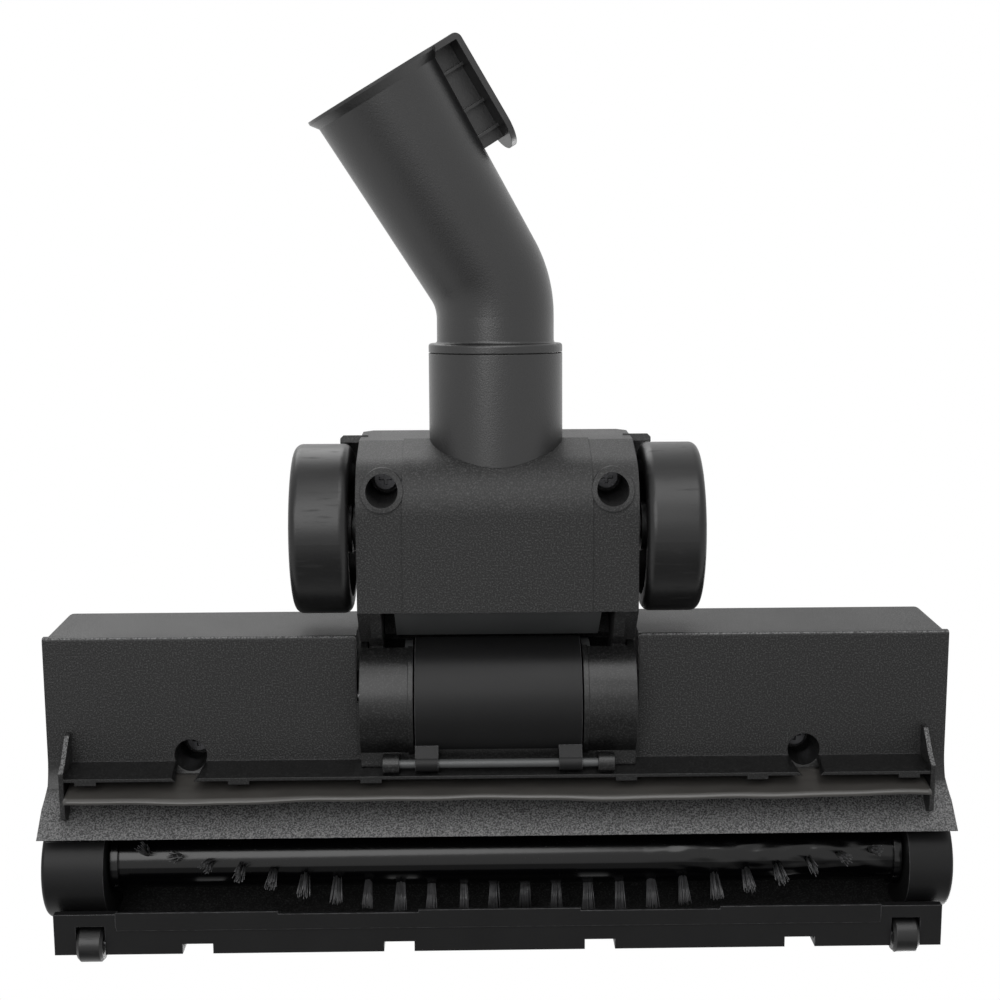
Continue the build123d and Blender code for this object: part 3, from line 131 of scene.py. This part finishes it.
class Graph:
    """The node tree of one material or of the world."""

    def __init__(self, tree: bpy.types.NodeTree) -> None:
        """Start with an empty tree."""
        self.tree = tree
        tree.nodes.clear()

    def node(self, kind: str, settings: dict | None = None, sockets: dict | None = None,
             output: int | str = 0) -> Socket:
        """Add one node.

        Args:
            kind: the node's type name.
            settings: properties of the node, set first; "stops" fills a colour ramp.
            sockets: values or links by socket name or number.
            output: the output that the result wraps.

        Returns:
            The wrapped output socket.
        """
        made = self.tree.nodes.new(kind)
        for name, value in (settings or {}).items():
            if name == "stops":
                self._fill_ramp(made.color_ramp, value)
            else:
                setattr(made, name, value)
        for name, value in (sockets or {}).items():
            if isinstance(value, Socket):
                self.tree.links.new(value.link, made.inputs[name])
            else:
                made.inputs[name].default_value = value
        if not made.outputs:
            return Socket(self, made.inputs[0])
        return Socket(self, made.outputs[output])

    def _fill_ramp(self, ramp: bpy.types.ColorRamp, stops: Stops) -> None:
        """Set a ramp's two grey stops.

        Args:
            ramp: the ramp to fill.
            stops: two pairs of position and grey value.
        """
        for element, (place, grey) in zip(ramp.elements, stops):
            element.position = place
            element.color = (grey, grey, grey, 1.0)

    def where(self) -> Socket:
        """Return the coordinates that stay with the piece."""
        return self.node("ShaderNodeTexCoord", output="Object")

    def noise(self, vector: Socket, grain_mm: float, detail: float = 3.0) -> Socket:
        """Return a noise value.

        Args:
            vector: the coordinates.
            grain_mm: the size of one grain in millimetres.
            detail: how many finer layers are added.

        Returns:
            The noise, about 0.5 in the mean.
        """
        sockets = {"Vector": vector, "Scale": 1.0 / (grain_mm * MM), "Detail": detail,
                   "Roughness": NOISE_ROUGHNESS}
        return self.node("ShaderNodeTexNoise", {"noise_dimensions": "3D"}, sockets)

    def stretch(self, vector: Socket, scale: Point) -> Socket:
        """Return coordinates scaled along each axis."""
        return self.node("ShaderNodeVectorMath", {"operation": "MULTIPLY"}, {0: vector, 1: scale})

    def tint(self, factor: Socket, low: Socket | Colour, high: Socket | Colour) -> Socket:
        """Return a colour between two colours.

        Args:
            factor: 0 for the first colour and 1 for the second.
            low: the first colour.
            high: the second colour.

        Returns:
            The mixed colour.
        """
        low, high = (paint if isinstance(paint, Socket) else (*paint, 1.0) for paint in (low, high))
        sockets = {MIX_FACTOR: factor, MIX_LOW: low, MIX_HIGH: high}
        return self.node("ShaderNodeMix", {"data_type": "RGBA"}, sockets, output=MIX_RESULT)

    def ramp(self, factor: Socket, stops: Stops) -> Socket:
        """Return a value sent through a grey ramp."""
        return self.node("ShaderNodeValToRGB", {"stops": stops}, {0: factor})

    def facing(self, vector: Socket, way: Socket | Point) -> Socket:
        """Return how far one direction agrees with another, 1 where they are the same."""
        return self.node("ShaderNodeVectorMath", {"operation": "DOT_PRODUCT"}, {0: vector, 1: way},
                         output="Value")

    def part_of(self, vector: Socket, axis: str) -> Socket:
        """Return one part of a vector, by the name of its axis."""
        return self.node("ShaderNodeSeparateXYZ", None, {0: vector}, output=axis)

    def soft_edge(self, radius_mm: float) -> Socket:
        """Return the normal with its edges rounded off."""
        return self.node("ShaderNodeBevel", {"samples": EDGE_SAMPLES}, {"Radius": radius_mm * MM})

    def bump(self, height: Socket, strength: float, depth_mm: float, rounded: Socket) -> Socket:
        """Return the normal of a bumpy face.

        Args:
            height: the height of the bumps, as a share of their depth.
            strength: how strongly they show.
            depth_mm: their depth in millimetres.
            rounded: the normal under them.

        Returns:
            The normal with its bumps.
        """
        return self.node("ShaderNodeBump", None, {"Strength": strength, "Distance": depth_mm * MM,
                                                  "Height": height, "Normal": rounded})

    def edge_mask(self, rounded: Socket) -> Socket:
        """Return a value that rises toward the edges of a piece.

        Args:
            rounded: the normal with rounded edges.

        Returns:
            0 on open faces and up to 1 at edges.
        """
        flat = self.node("ShaderNodeNewGeometry", output="Normal")
        return self.ramp(1.0 - self.facing(rounded, flat), EDGE_STOPS)

    def surface(self, sockets: dict) -> None:
        """Close the tree with the usual surface shader."""
        shader = self.node("ShaderNodeBsdfPrincipled", None, sockets)
        self.node("ShaderNodeOutputMaterial", None, {"Surface": shader})


def scaled(colour: Colour, share: float) -> Colour:
    """Return a colour made lighter or darker."""
    return (colour[0] * share, colour[1] * share, colour[2] * share)


def new_graph(name: str) -> tuple[bpy.types.Material, Graph]:
    """Make an empty material.

    Args:
        name: the material's name.

    Returns:
        The material and its graph.
    """
    material = bpy.data.materials.new(name)
    material.use_nodes = True
    return material, Graph(material.node_tree)


@dataclass(frozen=True)
class MouldedPlastic:
    """Moulded plastic with a spark-eroded grain, faint blotches, painted glints, and edges lightened partly
    by wear and partly by painted highlight.
    """

    name: str
    colour: Colour
    roughness: float
    grain_mm: float = 0.35
    grain: float = 0.5
    grain_depth_mm: float = 0.12
    grain_gloss: float = 0.1
    speckle: float = 0.3
    # Stops and gain of the painted glints that lighten bright specks of the grain.
    speck_stops: Stops = ((0.5, 0.0), (0.68, 1.0))
    sparkle: float = 0.0
    blotch_mm: float = 22.0
    blotch: float = 0.12
    blotch_gloss: float = 0.12
    tone_gain: float = 4.0
    dark_share: float = 0.5
    light_share: float = 1.5
    # Edge lightening: partly wear, partly a painted highlight along the edges, broken into patches.
    edge_mm: float = 0.35
    edge_glow: float = 2.0
    edge_share: float = 0.5
    wear_mm: float = 3.0
    wear_stops: Stops = ((0.35, 0.25), (0.65, 1.0))
    scuff: float = 0.0
    scuff_mm: float = 1.2
    scuff_shape: Point = (0.15, 1.0, 1.0)
    scuff_stops: Stops = ((0.55, 0.0), (0.75, 1.0))
    sheen: float = 0.25
    # Painted light on faces turned to the rear and down: its gain, direction, stops and grain.
    rub: float = 0.0
    rub_way: Point = (0.0, 0.743, -0.669)
    rub_stops: Stops = ((0.93, 0.0), (0.985, 1.0))
    rub_grain: Stops = ((0.4, 0.12), (0.64, 1.0))
    polish_zones: tuple[Zone, ...] = ()
    polish_gloss: float = 0.18
    polish_relief: float = 0.85
    polish_dark: float = 0.4

    def shade(self, graph: Graph, fine: Socket, broad: Socket, edge_wear_and_highlight: Socket) -> Socket:
        """Return the colour with its grain, blotches, painted glints and its edges lightened by wear and
        painted highlight.

        Args:
            graph: the material's graph.
            fine: the grain.
            broad: the blotches.
            edge_wear_and_highlight: the mask of the edges, lightened partly by wear and partly by painted
                highlight.

        Returns:
            The colour.
        """
        tone = (NOISE_MEAN + (broad - NOISE_MEAN) * self.blotch * self.tone_gain
                + (fine - NOISE_MEAN) * self.speckle * self.tone_gain)
        shade = graph.tint(tone, scaled(self.colour, self.dark_share), scaled(self.colour, self.light_share))
        # Painted glints: bright specks of the grain are lightened in the colour.
        if self.sparkle > 0:
            painted_glint_specks = graph.ramp(fine, self.speck_stops)
            shade = graph.tint(painted_glint_specks, shade, scaled(self.colour, self.sparkle))
        # Edges are lightened towards a pale copy of the colour: partly wear, partly painted highlight.
        return graph.tint(edge_wear_and_highlight * self.edge_share, shade, scaled(self.colour, self.edge_glow))

    def rubbed(self, graph: Graph, shade: Socket, fine: Socket, smooth: Socket | float) -> Socket:
        """Paint light onto the faces that turn to the rear and down, by lightening their colour.

        Args:
            graph: the material's graph.
            shade: the colour so far.
            fine: the grain.
            smooth: the mask of the smooth zones, which stay as they are.

        Returns:
            The colour with painted light on those faces.
        """
        # Painted light: faces turned to the rear and down get a paler colour, broken up by the grain.
        turned = graph.node("ShaderNodeTexCoord", output="Normal")
        mask = graph.ramp(graph.facing(turned, self.rub_way), self.rub_stops)
        mask = mask * graph.ramp(fine, self.rub_grain) * (1.0 - smooth)
        return graph.tint(mask, shade, scaled(self.colour, self.rub))

    def polished(self, graph: Graph, where: Socket) -> Socket:
        """Return 1 inside the smooth zones of a piece and 0 around them.

        Args:
            graph: the material's graph.
            where: the coordinates of the piece.

        Returns:
            The mask.
        """
        places = [graph.part_of(where, axis) for axis in "XYZ"]
        mask: Socket | float = 0.0
        for zone in self.polish_zones:
            inside: Socket | float = 1.0
            for place, low, high in zip(places, *zone):
                inside = (place > low) * (place < high) * inside
            mask = inside.at_least(mask)
        return mask

    def material(self) -> bpy.types.Material:
        """Make the finish.

        Returns:
            The material.
        """
        material, graph = new_graph(self.name)
        where = graph.where()
        fine = graph.noise(where, self.grain_mm)
        broad = graph.noise(where, self.blotch_mm)
        rounded = graph.soft_edge(self.edge_mm)
        # Mask of the edges broken into patches; it carries both edge wear and painted edge highlight.
        edge_wear_and_highlight = graph.edge_mask(rounded) * graph.ramp(graph.noise(where, self.wear_mm), self.wear_stops)
        lit = self.shade(graph, fine, broad, edge_wear_and_highlight)
        gloss = (self.roughness + (broad - NOISE_MEAN) * self.blotch_gloss
                 + (fine - NOISE_MEAN) * self.grain_gloss)
        relief = fine
        smooth = self.polished(graph, where) if self.polish_zones else 0.0
        # Painted light on the faces that turn to the rear and down.
        if self.rub > 0:
            lit = self.rubbed(graph, lit, fine, smooth)
        if self.polish_zones:
            gloss = gloss - smooth * self.polish_gloss
            relief = fine * (1.0 - smooth * self.polish_relief)
            lit = graph.tint(smooth * self.polish_dark, lit, BLACK)
        if self.scuff > 0:
            streak = graph.noise(graph.stretch(where, self.scuff_shape), self.scuff_mm, detail=4.0)
            gloss = gloss + graph.ramp(streak, self.scuff_stops) * self.scuff
        graph.surface({"Base Color": lit, "Roughness": gloss, "Specular IOR Level": self.sheen,
                       "Normal": graph.bump(relief, self.grain, self.grain_depth_mm, rounded)})
        return material


@dataclass(frozen=True)
class GlossPlastic:
    """Polished plastic with a faint waviness, dust and a crumpled end."""

    name: str
    colour: Colour
    roughness: float
    wave: float = 0.15
    wave_mm: float = 9.0
    wave_depth_mm: float = 0.3
    edge_mm: float = 0.3
    sheen: float = 0.14
    dust_mm: float = 0.6
    dust_stops: Stops = ((0.62, 0.0), (0.8, 1.0))
    dust_share: float = 0.35
    dust_glow: float = 6.0
    dust_gloss: float = 0.3
    crumple: float = 0.0
    crumple_x: float = -45.0 * MM
    crumple_fade: float = 20.0 * MM
    crumple_mm: float = 5.0
    crumple_shape: Point = (0.45, 1.0, 1.0)

    def material(self) -> bpy.types.Material:
        """Make the finish.

        Returns:
            The material.
        """
        material, graph = new_graph(self.name)
        where = graph.where()
        dust = graph.ramp(graph.noise(where, self.dust_mm, detail=5.0), self.dust_stops)
        swell = graph.noise(where, self.wave_mm, detail=2.0)
        far = graph.ramp((self.crumple_x - graph.part_of(where, "X")) / self.crumple_fade, RISE)
        folds = graph.noise(graph.stretch(where, self.crumple_shape), self.crumple_mm, detail=1.0)
        relief = swell + folds * far * self.crumple
        shade = graph.tint(dust * self.dust_share, self.colour, scaled(self.colour, self.dust_glow))
        bump = graph.bump(relief, self.wave, self.wave_depth_mm, graph.soft_edge(self.edge_mm))
        graph.surface({"Base Color": shade, "Roughness": self.roughness + dust * self.dust_gloss,
                       "Normal": bump, "Specular IOR Level": self.sheen})
        return material


@dataclass(frozen=True)
class SoftRubber:
    """Soft flexible plastic or rubber with a dull bloom."""

    name: str
    colour: Colour
    roughness: float
    bloom: float = 0.3
    bloom_mm: float = 4.0
    bloom_shape: Point = (0.3, 1.0, 1.0)
    bloom_gloss: float = 0.2
    grain: float = 0.2
    grain_mm: float = 0.5
    grain_depth_mm: float = 0.1
    edge_mm: float = 0.2
    sheen: float = 0.3

    def material(self) -> bpy.types.Material:
        """Make the finish.

        Returns:
            The material.
        """
        material, graph = new_graph(self.name)
        where = graph.where()
        haze = graph.noise(graph.stretch(where, self.bloom_shape), self.bloom_mm, detail=4.0)
        fine = graph.noise(where, self.grain_mm)
        shade = graph.tint(haze, scaled(self.colour, 1 - self.bloom), scaled(self.colour, 1 + self.bloom))
        bump = graph.bump(fine, self.grain, self.grain_depth_mm, graph.soft_edge(self.edge_mm))
        gloss = self.roughness + (haze - NOISE_MEAN) * self.bloom_gloss
        graph.surface({"Base Color": shade, "Roughness": gloss, "Normal": bump,
                       "Specular IOR Level": self.sheen})
        return material


@dataclass(frozen=True)
class BareMetal:
    """Plain drawn or sintered metal with fine marks."""

    name: str
    colour: Colour
    roughness: float
    mark_mm: float = 0.3
    mark_shape: Point = (0.08, 1.0, 1.0)
    mark_gloss: float = 0.2
    dark_share: float = 0.75
    light_share: float = 1.1
    edge_mm: float = 0.15

    def material(self) -> bpy.types.Material:
        """Make the finish.

        Returns:
            The material.
        """
        material, graph = new_graph(self.name)
        lines = graph.noise(graph.stretch(graph.where(), self.mark_shape), self.mark_mm)
        shade = graph.tint(lines, scaled(self.colour, self.dark_share), scaled(self.colour, self.light_share))
        gloss = self.roughness + (lines - NOISE_MEAN) * self.mark_gloss
        graph.surface({"Base Color": shade, "Metallic": 1.0, "Roughness": gloss,
                       "Normal": graph.soft_edge(self.edge_mm)})
        return material


@dataclass(frozen=True)
class NylonThread:
    """Round nylon filaments of uneven tone."""

    name: str
    colour: Colour
    roughness: float
    tone_mm: float = 1.4
    tone_gloss: float = 0.2
    dark_share: float = 0.4
    light_share: float = 1.8

    def material(self) -> bpy.types.Material:
        """Make the finish.

        Returns:
            The material.
        """
        material, graph = new_graph(self.name)
        tone = graph.noise(graph.where(), self.tone_mm, detail=2.0)
        shade = graph.tint(tone, scaled(self.colour, self.dark_share), scaled(self.colour, self.light_share))
        gloss = self.roughness + (tone - NOISE_MEAN) * self.tone_gloss
        graph.surface({"Base Color": shade, "Roughness": gloss})
        return material


BARREL_CHEEKS: Zone = ((-0.0437, -0.0778, 0.0), (0.0437, -0.0395, 0.03))
STRIP_LEDGE: Zone = ((-0.15, -0.087, 0.002), (0.15, -0.0792, 0.03))


class Finish(Enum):
    """The finishes of the head, by the record's material slot, with one more for the sole."""

    # This finish paints bright glints into the grain's colour.
    TEXTURED_HOUSING = MouldedPlastic("textured_housing", (0.0113, 0.0113, 0.0114), 0.5, grain_mm=0.5,
                                      grain=1.0, speckle=0.6, sheen=0.34, sparkle=5.0)
    # The sole paints light onto its faces that turn to the rear and down.
    TEXTURED_SOLE = replace(TEXTURED_HOUSING, name="textured_sole", rub=20.0,
                            polish_zones=(BARREL_CHEEKS, STRIP_LEDGE))
    # The very high edge gain paints thin highlight lines along the edges in this finish.
    SATIN_BLACK = MouldedPlastic("satin_black", (0.009, 0.009, 0.0093), 0.42, grain_mm=0.6, grain=0.15,
                                 speckle=0.1, sheen=0.2, edge_mm=0.45, edge_glow=40.0)
    SATIN_NECK = MouldedPlastic("satin_neck", (0.011, 0.011, 0.0113), 0.34, grain_mm=0.5, grain=0.5,
                                blotch=0.06, speckle=0.25, sheen=0.6)
    # Painted light: this colour is far paler than the other black plastics, to stand for the light on the air
    # duct.
    SMOOTH_INNER = MouldedPlastic("smooth_inner", (0.085, 0.088, 0.089), 0.4, grain_mm=0.6, grain=0.1,
                                  speckle=0.1, sheen=0.4)
    WHEEL_PLASTIC = MouldedPlastic("wheel_plastic", (0.006, 0.006, 0.0062), 0.34, grain_mm=0.6, grain=0.12,
                                   scuff=0.25, speckle=0.12, sheen=0.4)
    GLOSS_CORE = GlossPlastic("gloss_core", (0.0015, 0.0015, 0.0018), 0.17, sheen=0.36, crumple=24.0)
    NYLON_BRISTLE = NylonThread("nylon_bristle", (0.085, 0.085, 0.088), 0.35)
    STRIP_RUBBER = SoftRubber("strip_rubber", (0.06, 0.057, 0.053), 0.32, sheen=0.55)
    BELT_RUBBER = SoftRubber("belt_rubber", (0.015, 0.015, 0.015), 0.6)
    STEEL = BareMetal("steel", (0.52, 0.52, 0.53), 0.35)
    BLACK_STEEL = BareMetal("black_steel", (0.10, 0.10, 0.105), 0.3)
    BEARING_BRONZE = BareMetal("bearing_bronze", (0.5, 0.36, 0.17), 0.4)
    PULLEY_NYLON = MouldedPlastic("pulley_nylon", (0.62, 0.61, 0.57), 0.45, grain=0.1, edge_glow=1.1,
                                  blotch=0.04, speckle=0.02)


class Wardrobe:
    """Makes each finish once and puts it on pieces."""

    def __init__(self) -> None:
        """Start with no materials."""
        self.made: dict[Finish, bpy.types.Material] = {}

    def of(self, finish: Finish) -> bpy.types.Material:
        """Return the material of a finish, made when it is first asked for.

        Args:
            finish: the finish.

        Returns:
            Its material.
        """
        if finish not in self.made:
            self.made[finish] = finish.value.material()
        return self.made[finish]

    def dress(self, piece: bpy.types.Object, finish: Finish) -> None:
        """Put one finish on a piece.

        Args:
            piece: the object to dress.
            finish: the finish it gets.
        """
        piece.data.materials.clear()
        piece.data.materials.append(self.of(finish))


def piece_from(name: str, points: list[Vector], faces: list[list[int]],
               smooth: bool = True) -> bpy.types.Object:
    """Return a new mesh object.

    Args:
        name: the piece's name.
        points: its corners in metres.
        faces: its faces as lists of corner numbers.
        smooth: whether it is shaded smooth.

    Returns:
        The object, linked to the scene.
    """
    mesh = bpy.data.meshes.new(name)
    mesh.from_pydata([tuple(point) for point in points], [], faces)
    work = bmesh.new()
    work.from_mesh(mesh)
    bmesh.ops.recalc_face_normals(work, faces=work.faces)
    work.to_mesh(mesh)
    work.free()
    for face in mesh.polygons:
        face.use_smooth = smooth
    piece = bpy.data.objects.new(name, mesh)
    bpy.context.scene.collection.objects.link(piece)
    return piece


@dataclass
class CarriedNodes:
    """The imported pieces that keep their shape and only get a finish."""

    wardrobe: Wardrobe
    left_out: tuple[str, ...]
    special: dict[str, Finish] = field(default_factory=lambda: {
        "sole_plate": Finish.TEXTURED_SOLE,
        "access_flap": Finish.SATIN_BLACK,
        "end_cap_left": Finish.SATIN_BLACK,
        "end_cap_right": Finish.SATIN_BLACK,
    })

    def dress(self) -> None:
        """Give every carried node the finish of its slot."""
        slots = {entry["node"]: entry["material_slot"] for entry in frame["record"]["subparts"]}
        for name, piece in frame["nodes"].items():
            if name in self.left_out:
                continue
            finish = self.special.get(name, Finish[slots[name].upper()])
            self.wardrobe.dress(piece, finish)
            LOG.info("dressed %s as %s", name, finish.name.lower())


@dataclass
class RollerBrush:
    """The tufts of the roller as bundles of filaments."""

    wardrobe: Wardrobe
    axis_y: float
    axis_z: float
    core_r: float = 9.4 * MM
    tip_r: float = 18.8 * MM
    apex_x: float = -8.5 * MM
    pitch: float = 9.8 * MM
    left_tufts: int = 11
    right_tufts: int = 12
    row_degs: tuple[float, ...] = (0.0, 180.0)
    apex_deg: float = 87.0
    twist_deg: float = 1.0
    root_r: float = 1.35 * MM
    splay: float = 1.55
    filaments: int = 34
    short_share: float = 0.955
    length_play: float = 0.03
    stray: float = 0.12 * MM
    thread_r: float = 0.16 * MM
    thread_sides: int = 3
    thread_rings: int = 3
    taper: float = 0.2
    seed: int = 7

    def _filament(self, points: list[Vector], faces: list[list[int]], root: Vector, tip: Vector) -> None:
        """Add one filament that gets thinner toward its tip.

        Args:
            points: the corners so far.
            faces: the faces so far.
            root: where it leaves the core.
            tip: where it ends.
        """
        along = (tip - root).normalized()
        side = along.orthogonal().normalized()
        other = along.cross(side)
        sides = self.thread_sides
        start = len(points)
        for ring in range(self.thread_rings):
            centre = root.lerp(tip, ring / (self.thread_rings - 1))
            thick = self.thread_r * (1.0 - self.taper * ring)
            for corner in range(sides):
                angle = corner * math.tau / sides
                points.append(centre + (side * math.cos(angle) + other * math.sin(angle)) * thick)
        last = len(points) - sides
        for first in range(start, last, sides):
            for corner in range(sides):
                after = (corner + 1) % sides
                faces.append([first + corner, first + after, first + sides + after, first + sides + corner])
        faces.append([start, *range(start + sides - 1, start, -1)])
        faces.append([*range(last, last + sides)])

    def build(self) -> bpy.types.Object:
        """Build all tufts as one piece.

        Returns:
            The piece.
        """
        rng = random.Random(self.seed)
        points: list[Vector] = []
        faces: list[list[int]] = []
        across = Vector((1.0, 0.0, 0.0))
        for count in range(-self.left_tufts, self.right_tufts + 1):
            x = self.apex_x + count * self.pitch
            base = Vector((x, self.axis_y, self.axis_z))
            turn = self.apex_deg - self.twist_deg * abs(x - self.apex_x) / MM
            for row in self.row_degs:
                lean = math.radians(turn + row)
                out = Vector((0.0, -math.sin(lean), -math.cos(lean)))
                round_way = out.cross(across)
                for _ in range(self.filaments):
                    reach = math.sqrt(rng.random()) * self.root_r
                    angle = rng.random() * math.tau
                    offset = across * math.cos(angle) * reach + round_way * math.sin(angle) * reach
                    root = base + out * self.core_r + offset
                    length = self.tip_r * (self.short_share + self.length_play * rng.random())
                    tip = base + out * length + offset * self.splay
                    tip += across * rng.gauss(0.0, self.stray)
                    self._filament(points, faces, root, tip)
        return piece_from("bristle_bundles", points, faces)

    def dress(self) -> None:
        """Build the bundles and set them in place of the plain tufts."""
        bundles = self.build()
        self.wardrobe.dress(bundles, Finish.NYLON_BRISTLE)
        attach(bundles, "brush")
        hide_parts("bristle_tufts")
        LOG.info("built bristle bundles with %d faces", len(bundles.data.polygons))


@dataclass
class WavyStrip:
    """The flexible strip with its wavy free edge."""

    wardrobe: Wardrobe
    low: Vector
    high: Vector
    thick: float = 1.0 * MM
    wave: float = 0.7 * MM
    ripples: tuple[Point, ...] = ((1.0, 23.0 * MM, 0.6), (0.5, 9.5 * MM, 1.9), (0.25, 4.1 * MM, 0.0))
    columns: int = 220
    rows: int = 7

    def _sway(self, x: float) -> float:
        """Return how far the free edge leans at a place along the strip.

        Args:
            x: the place.

        Returns:
            The lean, summed over ripples of a share, a length and a start.
        """
        sway = sum(share * math.sin(x / length + start) for share, length, start in self.ripples)
        return self.wave * sway / sum(share for share, _, _ in self.ripples)

    def build(self) -> bpy.types.Object:
        """Build the strip as one closed piece.

        Returns:
            The piece.
        """
        points: list[Vector] = []
        faces: list[list[int]] = []
        inset = self.thick / 2 + self.wave
        root = (self.high.y - inset, self.high.z)
        tip = (self.low.y + inset, self.low.z)
        for side in (-0.5, 0.5):
            for column in range(self.columns + 1):
                x = self.low.x + (self.high.x - self.low.x) * column / self.columns
                for row in range(self.rows + 1):
                    share = row / self.rows
                    y = root[0] + (tip[0] - root[0]) * share + self._sway(x) * share ** 2
                    z = root[1] + (tip[1] - root[1]) * share
                    points.append(Vector((x, y + side * self.thick, z)))
        stride = self.rows + 1
        sheet = stride * (self.columns + 1)
        for column in range(self.columns):
            for row in range(self.rows):
                corner = column * stride + row
                near = [corner, corner + 1, corner + stride + 1, corner + stride]
                faces.append(near)
                faces.append([number + sheet for number in reversed(near)])
            for row in (0, self.rows):
                corner = column * stride + row
                faces.append([corner, corner + stride, corner + stride + sheet, corner + sheet])
        for column in (0, self.columns):
            for row in range(self.rows):
                corner = column * stride + row
                faces.append([corner, corner + 1, corner + 1 + sheet, corner + sheet])
        return piece_from("wavy_strip", points, faces)

    def dress(self) -> None:
        """Build the strip and set it in place of the plain one."""
        strip = self.build()
        self.wardrobe.dress(strip, Finish.STRIP_RUBBER)
        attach(strip, "head")
        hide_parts("squeegee_strip")
        LOG.info("built the wavy strip with %d faces", len(strip.data.polygons))


@dataclass
class Lamp:
    """One soft area light."""

    name: str
    place: Point
    size: float
    power: float
    aim: Point = (0.0, 0.0, 0.0)

    def build(self) -> None:
        """Add the light, turned to what it lights."""
        data = bpy.data.lights.new(self.name, "AREA")
        data.size = self.size
        data.energy = self.power
        lamp = bpy.data.objects.new(self.name, data)
        lamp.location = self.place
        lamp.rotation_euler = (Vector(self.aim) - Vector(self.place)).to_track_quat("-Z", "Y").to_euler()
        bpy.context.scene.collection.objects.link(lamp)


@dataclass
class Studio:
    """The pale floor, the soft light and the camera under the head."""

    lip_y: float
    sky: float = 0.22
    floor_size: float = 14.0
    floor_tones: tuple[Colour, Colour] = ((0.78, 0.78, 0.78), (0.82, 0.82, 0.82))
    floor_patch_mm: float = 60.0
    eye: Point = (0.00778, 0.185806, -0.47376)
    turn_deg: Point = (170.204, 1.0574, -179.7536)
    lens: float = 59.4
    sensor: float = 36.0
    nearest: float = 0.01
    shaded_way: Point = (0.0, -0.75, -0.66)
    shade_stops: Stops = ((0.78, 1.0), (0.94, 0.05))
    lamps: list[Lamp] = field(default_factory=lambda: [
        Lamp("key_below", (0.3, 0.55, -1.05), 0.8, 6.5),
        Lamp("rear_below", (-0.2, 1.0, -0.6), 0.7, 4.5),
        Lamp("rear_above", (0.3, 0.9, 0.8), 0.8, 5.0),
        Lamp("front_above", (-0.6, -0.9, 0.9), 0.8, 9.0),
    ])

    def build_world(self) -> None:
        """Make the backdrop white to the eye and plain to the light, with a shaded patch in front."""
        world = bpy.data.worlds.new("soft_room")
        world.use_nodes = True
        bpy.context.scene.world = world
        graph = Graph(world.node_tree)
        seen, glossy, passed = (graph.node("ShaderNodeLightPath", output=f"Is {kind} Ray")
                                for kind in ("Camera", "Glossy", "Transmission"))
        away = graph.node("ShaderNodeTexCoord", output="Generated")
        glossy = glossy * graph.ramp(graph.facing(away, self.shaded_way), self.shade_stops)
        shown = seen.at_least(glossy).at_least(passed)
        strength = self.sky + (1.0 - self.sky) * shown
        white = (1.0, 1.0, 1.0, 1.0)
        ground = graph.node("ShaderNodeBackground", None, {"Color": white, "Strength": strength})
        graph.node("ShaderNodeOutputWorld", None, {"Surface": ground})

    def build_floor(self) -> None:
        """Lay a pale floor that shows only from above."""
        half = self.floor_size / 2
        corners = [Vector((-half, -half, 0)), Vector((half, -half, 0)), Vector((half, half, 0)),
                   Vector((-half, half, 0))]
        floor = piece_from("pale_floor", corners, [[0, 1, 2, 3]], smooth=False)
        material, graph = new_graph("pale_floor")
        tone = graph.noise(graph.where(), self.floor_patch_mm)
        paint = graph.node("ShaderNodeBsdfDiffuse", None, {"Color": graph.tint(tone, *self.floor_tones)})
        clear = graph.node("ShaderNodeBsdfTransparent")
        below = graph.node("ShaderNodeNewGeometry", output="Backfacing")
        mixed = graph.node("ShaderNodeMixShader", None, {0: below, 1: paint, 2: clear})
        graph.node("ShaderNodeOutputMaterial", None, {"Surface": mixed})
        floor.data.materials.append(material)
        floor.visible_shadow = False
        floor.visible_diffuse = False
        floor.visible_glossy = False

    def build_camera(self) -> None:
        """Set the camera at the photograph's viewing angle."""
        data = bpy.data.cameras.new("view_from_below")
        data.sensor_width = self.sensor
        data.lens = self.lens
        data.clip_start = self.nearest
        camera = bpy.data.objects.new("view_from_below", data)
        turn = Euler([math.radians(angle) for angle in self.turn_deg]).to_matrix().to_4x4()
        eye = Vector(self.eye) + Vector((0.0, self.lip_y, 0.0))
        camera.matrix_world = Matrix.Translation(eye) @ turn
        bpy.context.scene.collection.objects.link(camera)
        bpy.context.scene.camera = camera

    def build(self) -> None:
        """Set up light, floor and camera."""
        bpy.context.scene.view_settings.view_transform = "Standard"
        self.build_world()
        self.build_floor()
        for lamp in self.lamps:
            lamp.build()
        self.build_camera()
        LOG.info("studio ready with %d lamps", len(self.lamps))


def node_box(name: str) -> tuple[Vector, Vector]:
    """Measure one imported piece.

    Args:
        name: the piece's node.

    Returns:
        The low and the high corner of its box.
    """
    piece = frame["nodes"][name]
    corners = [piece.matrix_world @ vertex.co for vertex in piece.data.vertices]
    low = Vector([min(corner[axis] for corner in corners) for axis in range(3)])
    high = Vector([max(corner[axis] for corner in corners) for axis in range(3)])
    return low, high


def main() -> None:
    """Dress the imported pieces, add the soft ones and set up the studio."""
    logging.basicConfig(level=logging.INFO)
    wardrobe = Wardrobe()
    CarriedNodes(wardrobe, left_out=("bristle_tufts", "squeegee_strip")).dress()
    core_low, core_high = node_box("brush_core")
    axis = (core_low + core_high) / 2
    RollerBrush(wardrobe, axis.y, axis.z).dress()
    WavyStrip(wardrobe, *node_box("squeegee_strip")).dress()
    Studio(node_box("sole_plate")[0].y).build()


if __name__ == "__main__":
    main()
